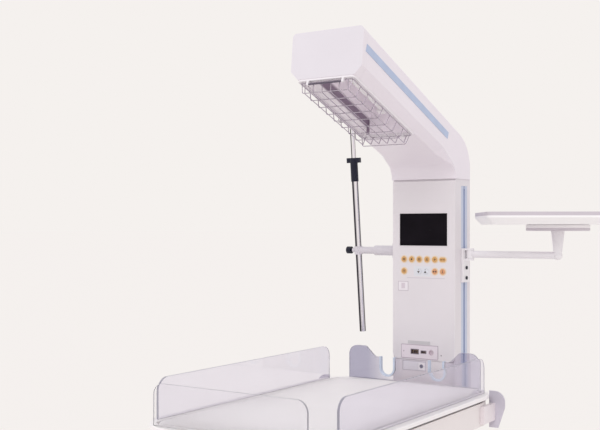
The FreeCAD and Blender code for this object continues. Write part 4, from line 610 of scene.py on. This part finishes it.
def chrome_finish(name, dark, bright, low, high):
    """Drawn chrome tube with painted dark reflections along two opposite sides: they run where
    the surface's own normal turns away from one level direction, fixed to the tube."""
    made = Finish(name, bright, 0.14, 1.0)
    turn = made.add("ShaderNodeVectorMath", operation="DOT_PRODUCT")
    made.link(made.normal, turn.inputs[0])
    turn.inputs[1].default_value = (math.cos(REFLECTION_TURN), math.sin(REFLECTION_TURN), 0)
    facing = made.math("ABSOLUTE", turn.outputs["Value"])
    # painted reflection: dark and bright colour bands laid by the surface's normal
    made.tint(0.04, 20, made.mix(made.spread(facing, 0.0, 1.0, low, high), dark, bright))
    made.gloss(0.10, 0.20, 60, CHROME_WAY)
    return made.grain(made.noise(700, 2.0, CHROME_WAY), 0.00002, 0.35)


def wheel_finish(name):
    """Caster wheel: a dark soft tread round a paler hub, told apart by the distance from
    the axle."""
    made = Finish(name + "_finish", (0.2, 0.2, 0.22), 0.6)
    middle, half = middle_and_half(name)
    reach = made.length(
        made.math("SUBTRACT", made.axis("Y"), middle[1]),
        made.math("SUBTRACT", made.axis("Z"), middle[2]),
    )
    rim = half[2] - TREAD_WALL
    tread = made.spread(reach, 0.0, 1.0, rim - 0.0007, rim)
    made.tint(0.08, 45, made.mix(tread, HUB_GREY, TREAD_DARK))
    made.link(made.spread(tread, 0.35, 0.62, 0, 1), made.shader.inputs["Roughness"])
    return made.grain(made.noise(1300, 3.0), 0.00008, 0.5)


# painted reflection: the dark body and bright streaks of the pole and the rod
pole_chrome = chrome_finish("pole_chrome", (0.035, 0.03, 0.04), (0.90, 0.87, 0.90), 0.74, 0.96)
rod_chrome = chrome_finish("rod_chrome", (0.06, 0.05, 0.06), (0.92, 0.90, 0.92), 0.58, 0.85)


# the cloth of the mattress

def mattress_finish():
    """Coated cloth: a fine crossed weave under a thin film, with slow undulations."""
    made = Finish("mattress_cover", (0.865, 0.83, 0.85), 0.5).put(specular_ior_level=0.3)
    made.tint(0.02, 7).gloss(0.42, 0.58, 12)
    threads = []
    for axis in ("X", "Y"):
        wave = made.add("ShaderNodeTexWave", bands_direction=axis)
        wave.inputs["Scale"].default_value = 70
        wave.inputs["Distortion"].default_value = 0.4
        made.link(made.place, wave.inputs["Vector"])
        threads.append(wave.outputs["Fac"])
    made.grain(made.noise(6, 3.0), 0.004, 0.10)
    return made.grain(made.math("MULTIPLY", *threads), 0.00006, 0.5)


mattress_cover = mattress_finish()


# which part has which finish

FINISHES = {
    hood_paint: ["hood_shell"],
    cap_plastic: ["hood_front_cap"],
    column_paint: ["column_body", "base_frame", "bed_support"],
    pole_arm_paint: ["iv_bracket"],
    bracket_plastic: ["tray_bracket", "tray_arm"],
    door_paint: ["service_door"],
    rear_plastic: ["column_rear_cover", "base_cover"],
    panel_film: ["front_bezel"],
    plate_plastic: ["connector_plate"],
    frame_plastic: ["heater_frame"],
    deck_plastic: ["bed_deck"],
    base_plastic: ["bed_base"],
    tray_plastic: ["tray"],
    disc_plastic: ["tray_disc"],
    rail_blue: ["column_rails"],
    stripe_blue: ["hood_stripes"],
    display_black: ["display_glass"],
    socket_dark: ["probe_sockets"],
    lock_metal: ["door_lock"],
    reflector_metal: ["reflector"],
    heater_tube: ["heater_element"],
    guard_wire: ["wire_guard"],
    side_sheet: ["side_panel_left", "side_panel_right"],
    head_sheet: ["head_panel"],
    foot_sheet: ["foot_panel"],
    grommet_blue: ["tube_grommets"],
    grip_grey: ["rear_grips"],
    cassette_metal: ["xray_tray"],
    pole_chrome: ["iv_pole"],
    rod_chrome: ["iv_rod"],
    black_plastic: ["iv_collar", "iv_knob", "bracket_screws"],
    mattress_cover: ["mattress"],
    fork_zinc: [name for name in NODES if name.startswith("caster_fork")],
    pedal_grey: [name for name in NODES if name.startswith("brake_pedal")],
}
for colour, names in KEY_COLOURS.items():
    for name in names:
        FINISHES[key_finish(name, colour, PEARL if colour == PEARL else WARM_RIM)] = [name]
for name in NODES:
    if name.startswith("caster_wheel"):
        FINISHES[wheel_finish(name)] = [name]
for finish, names in FINISHES.items():
    for name in names:
        for material_slot in NODES[name].material_slots:
            material_slot.material = finish.material


# the mattress

CORNER_ROUND = 0.030
OUTLINE_POINTS, FLAT_RINGS, SIDE_RINGS, EDGE_RINGS = 240, 40, 9, 6
FIRST_RING = 0.04
CROWN = 0.0012
EDGE_ROUND, SIDE_PULL = 0.007, 0.0015
COVER_ROOM = np.array([0.0012, 0.0008])
VOXEL = 0.0058
PRESSURE, CLOTH_STEPS = 0.9, 12
SWELL_LIMIT, TOP_LIMIT = 0.006, 0.005


def mattress_rings(low, high, edge, pull):
    """Rings of a pad from the middle of its base to the middle of its top. Ring t has the
    outline drawn in by `pull` at mid height, z = z0 + h t there; over the top and under the
    base the outline shrinks evenly to a point, and the top rises as crown (1 - r^2)^2."""
    half, middle = (high - low) / 2, (high + low) / 2
    outline = rounded_outline(half[0], half[1], CORNER_ROUND, OUTLINE_POINTS)
    inner = 1 - edge / half[0]
    shrink = np.linspace(FIRST_RING, 1, FLAT_RINGS)
    shrink = shrink[shrink < inner]
    t = np.linspace(0, 1, SIDE_RINGS)[1:-1]
    corner = np.linspace(0, math.pi / 2, EDGE_RINGS)[1:]
    turned = 1 - edge * (1 - np.sin(corner)) / half[0]
    rise = edge * (1 - np.cos(corner))
    side = high[2] - low[2] - 2 * edge - CROWN
    scale = np.concatenate([
        shrink, turned, 1 - pull * np.sin(math.pi * t) / half[0], turned[::-1], shrink[::-1],
    ])[:, None, None]
    height = np.concatenate([
        np.full(len(shrink), low[2]),
        low[2] + rise,
        low[2] + edge + side * t,
        high[2] - CROWN - rise[::-1],
        high[2] - CROWN * (1 - (1 - shrink[::-1] ** 2) ** 2),
    ])[:, None, None]
    inset = 1 - (1 - scale) * half[0] / half[:2]
    flat = outline[None] * np.where(scale < inner, scale, inset)
    height = np.broadcast_to(height, flat.shape[:2] + (1,))
    return np.concatenate([flat + middle[:2], height], axis=2)


def fill_pad(made, low, high):
    """Swells the pad as filled cloth under pressure: no point moves further than the swell
    limit, none leaves the box sideways or below, and none rises past the top limit."""
    remesh = made.modifiers.new("even_mesh", "REMESH")
    remesh.mode = "VOXEL"
    remesh.voxel_size = VOXEL
    graph = bpy.context.evaluated_depsgraph_get()
    even = bpy.data.meshes.new_from_object(made.evaluated_get(graph))
    made.modifiers.clear()
    made.data = even
    start = np.empty(len(even.vertices) * 3)
    even.vertices.foreach_get("co", start)
    cloth = made.modifiers.new("filled_cloth", "CLOTH")
    cloth.settings.quality = 5
    cloth.settings.mass = 0.3
    cloth.settings.tension_stiffness = 40
    cloth.settings.bending_stiffness = 4
    cloth.settings.use_pressure = True
    cloth.settings.uniform_pressure_force = PRESSURE
    cloth.settings.effector_weights.gravity = 0
    scene = bpy.context.scene
    for step in range(1, CLOTH_STEPS + 1):
        scene.frame_set(step)
    graph = bpy.context.evaluated_depsgraph_get()
    end = np.empty_like(start)
    made.evaluated_get(graph).data.vertices.foreach_get("co", end)
    made.modifiers.clear()
    scene.frame_set(1)
    start, end = start.reshape(-1, 3), end.reshape(-1, 3)
    move = end - start
    far = np.maximum(np.linalg.norm(move, axis=1, keepdims=True), 1e-9)
    shaped = start + move * np.minimum(1, SWELL_LIMIT / far)
    shaped = np.clip(shaped, low, high + (0, 0, TOP_LIMIT))
    even.vertices.foreach_set("co", shaped.ravel())
    even.polygons.foreach_set("use_smooth", np.ones(len(even.polygons), bool))
    if not even.materials:
        even.materials.append(mattress_cover.material)
    even.update()


mattress_low, mattress_high = (np.array(corner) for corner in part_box("mattress"))
pad_low, pad_high = mattress_low + COVER_ROOM[0], mattress_high - COVER_ROOM[1]
pad_skin = closed_skin(mattress_rings(pad_low, pad_high, EDGE_ROUND, SIDE_PULL))
pad = piece("mattress_pad", [pad_skin], None, mattress_cover.material)
fill_pad(pad, mattress_low, mattress_high)
smoother = pad.modifiers.new("smooth_cover", "SUBSURF")
smoother.levels = smoother.render_levels = 1
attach(pad, "deck")
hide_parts("mattress")


# symbols on the keys

INK = 0.00025
MM = 0.001


def stamp(outline, x, y, z):
    """A flat symbol standing INK proud of a key's face: the outline in millimetres in x and
    z, from a little under the key's face at y to INK in front of it."""
    across, up = (outline * MM).T
    flat = np.stack([across + x, np.zeros(len(outline)), up + z], axis=1)
    return closed_skin(np.stack([flat + (0, y + INK, 0), flat + (0, y - INK, 0)]))


def disc(radius, x=0.0, z=0.0):
    """Circle of 24 points: x = r cos a, z = r sin a."""
    angle = np.linspace(0, 2 * math.pi, 24, endpoint=False)
    return np.stack([x + radius * np.cos(angle), z + radius * np.sin(angle)], axis=1)


def bar(half_x, half_z, x=0.0, z=0.0):
    """Small bar with rounded corners."""
    return rounded_outline(half_x, half_z, min(half_x, half_z) * 0.6, 32) + (x, z)


def arrow(size, way, z=0.0):
    """Triangle with its point up for way 1 and down for way -1, taken anticlockwise."""
    points = [(-size, z - way * size * 0.5), (size, z - way * size * 0.5), (0, z + way * size)]
    return np.array(points[::way])


RAYS = np.arange(8) * math.pi / 4
SYMBOLS = {
    "key_mode": [bar(4, 0.6, z=2.2), bar(4, 0.6), bar(4, 0.6, z=-2.2)],
    "key_set": [disc(2.6)],
    "key_heater": [bar(0.6, 3.6, x=-2.6), bar(0.6, 3.6), bar(0.6, 3.6, x=2.6)],
    "key_skin": [bar(3.4, 1.0, z=-1.8), disc(1.7, z=1.8)],
    "key_timer": [bar(0.6, 3.6), bar(3.6, 0.6, x=0.4)],
    "key_start": [disc(1.7, x=-4.6), disc(1.7, x=4.6), bar(2.4, 0.6)],
    "key_lamp": [disc(1.8)] + [disc(0.75, 4 * math.cos(a), 4 * math.sin(a)) for a in RAYS],
    "key_down": [arrow(4.2, -1, z=-1.6), bar(0.5, 1.8, z=5.4)],
    "key_up": [arrow(4.2, 1, z=-2.4), arrow(1.6, 1, z=5.0)],
    "key_alarm": [disc(2.3, x=-3.4), disc(2.3, x=3.4)],
    "key_power": [bar(0.65, 2.4, z=1.8), disc(1.5, z=-2.6)],
}
for name, outlines in SYMBOLS.items():
    middle, half = middle_and_half(name)
    skins = [stamp(outline, middle[0], middle[1] - half[1], middle[2]) for outline in outlines]
    piece(name + "_symbol", skins, name, key_ink.material, smooth=False)


# pins in the two dark sockets

PIN_RADIUS, PIN_LENGTH, PIN_PITCH, ROW_HALF = 0.0008, 0.0016, 0.0042, 0.0021
PIN_SIDES, DOME_RINGS = 16, 5
FIRST_SOCKET, SECOND_SOCKET, SOCKET_DEEP = 0.0105, 0.0425, 0.0037


def pin(x, z, y, radius, length):
    """Round contact with a domed tip: circles of radius r cos a, stepping out by r sin a."""
    angle = np.linspace(0, 2 * math.pi, PIN_SIDES, endpoint=False)
    dome = np.linspace(0, math.pi / 2, DOME_RINGS)[:-1]
    reach = np.concatenate([[0, length], length + radius * np.sin(dome[1:])])
    wide = np.concatenate([[radius, radius], radius * np.cos(dome[1:])])
    ring = np.stack([np.cos(angle), np.zeros(PIN_SIDES), np.sin(angle)], axis=1)
    rings = ring[None] * wide[:, None, None] + np.array([x, y, z])
    rings[:, :, 1] -= reach[:, None]
    return closed_skin(rings)


def socket_pins():
    """Two rows of five pins in the first socket and one row of three in the second."""
    low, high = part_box("probe_sockets")
    middle, foot = (low[2] + high[2]) / 2, low[1] + SOCKET_DEEP
    rows = (-ROW_HALF, ROW_HALF)
    places = [(FIRST_SOCKET + PIN_PITCH * i, row) for i in range(5) for row in rows]
    places += [(SECOND_SOCKET + PIN_PITCH * i, 0.0) for i in range(3)]
    return [pin(low[0] + x, middle + z, foot, PIN_RADIUS, PIN_LENGTH) for x, z in places]


piece("socket_pins", socket_pins(), "stand", pin_brass.material)


# studio

PALE = (0.913, 0.879, 0.855)
SKY, SKY_STRENGTH = (1.0, 0.995, 1.0), 0.87
FLOOR_REACH = 300.0
SUN_WAY, SUN_STRENGTH, SUN_SPREAD = (-0.15, 0.75, -0.65), 0.63, 40


def studio_world():
    """Even light from all round; what looks at it directly or in a reflection sees the pale
    ground."""
    world = bpy.data.worlds.new("studio")
    bpy.context.scene.world = world
    world.use_nodes = True
    tree = world.node_tree
    light = tree.nodes["Background"]
    light.inputs["Color"].default_value = (*SKY, 1)
    light.inputs["Strength"].default_value = SKY_STRENGTH
    seen = tree.nodes.new("ShaderNodeBackground")
    seen.inputs["Color"].default_value = (*PALE, 1)
    path = tree.nodes.new("ShaderNodeLightPath")
    either = path.outputs["Is Camera Ray"]
    for kind in ("Is Glossy Ray", "Is Transmission Ray"):
        most = tree.nodes.new("ShaderNodeMath")
        most.operation = "MAXIMUM"
        tree.links.new(either, most.inputs[0])
        tree.links.new(path.outputs[kind], most.inputs[1])
        either = most.outputs[0]
    mix = tree.nodes.new("ShaderNodeMixShader")
    tree.links.new(either, mix.inputs["Fac"])
    tree.links.new(light.outputs[0], mix.inputs[1])
    tree.links.new(seen.outputs[0], mix.inputs[2])
    tree.links.new(mix.outputs[0], tree.nodes["World Output"].inputs["Surface"])


def studio_floor():
    """Plain pale floor, wide enough to reach the horizon."""
    mesh = bpy.data.meshes.new("floor")
    signs = ((-1, -1), (1, -1), (1, 1), (-1, 1))
    corners = [(x * FLOOR_REACH, y * FLOOR_REACH, 0) for x, y in signs]
    mesh.from_pydata(corners, [], [(0, 1, 2, 3)])
    floor = bpy.data.objects.new("floor", mesh)
    bpy.context.scene.collection.objects.link(floor)
    paint = Finish("floor_paint", PALE, 0.9).put(specular_ior_level=0.0)
    mesh.materials.append(paint.material)


def soft_sun(name, towards, strength, spread):
    """Broad lamp far away, shining along a direction."""
    lamp = bpy.data.lights.new(name, "SUN")
    lamp.energy = strength
    lamp.angle = math.radians(spread)
    made = bpy.data.objects.new(name, lamp)
    bpy.context.scene.collection.objects.link(made)
    x, y, z = towards
    lean = math.acos(-z / math.sqrt(x * x + y * y + z * z))
    made.rotation_euler = (lean, 0, math.atan2(y, x) - math.pi / 2)


studio_world()
studio_floor()
soft_sun("front_softbox", SUN_WAY, SUN_STRENGTH, SUN_SPREAD)


# the camera, level with the plate that the tray turns on

EYE = (1.1115, -2.1874, 1.398)
EYE_TURN = math.radians(33.6)
LENS, SENSOR, SHIFT = 58.14, 36, 0.0217

camera = bpy.data.cameras.new("camera")
camera.lens, camera.sensor_width, camera.shift_y = LENS, SENSOR, SHIFT
eye = bpy.data.objects.new("camera", camera)
eye.location = EYE
eye.rotation_euler = (math.pi / 2, 0, EYE_TURN)
bpy.context.scene.collection.objects.link(eye)
bpy.context.scene.camera = eye
bpy.context.scene.view_settings.view_transform = "Standard"
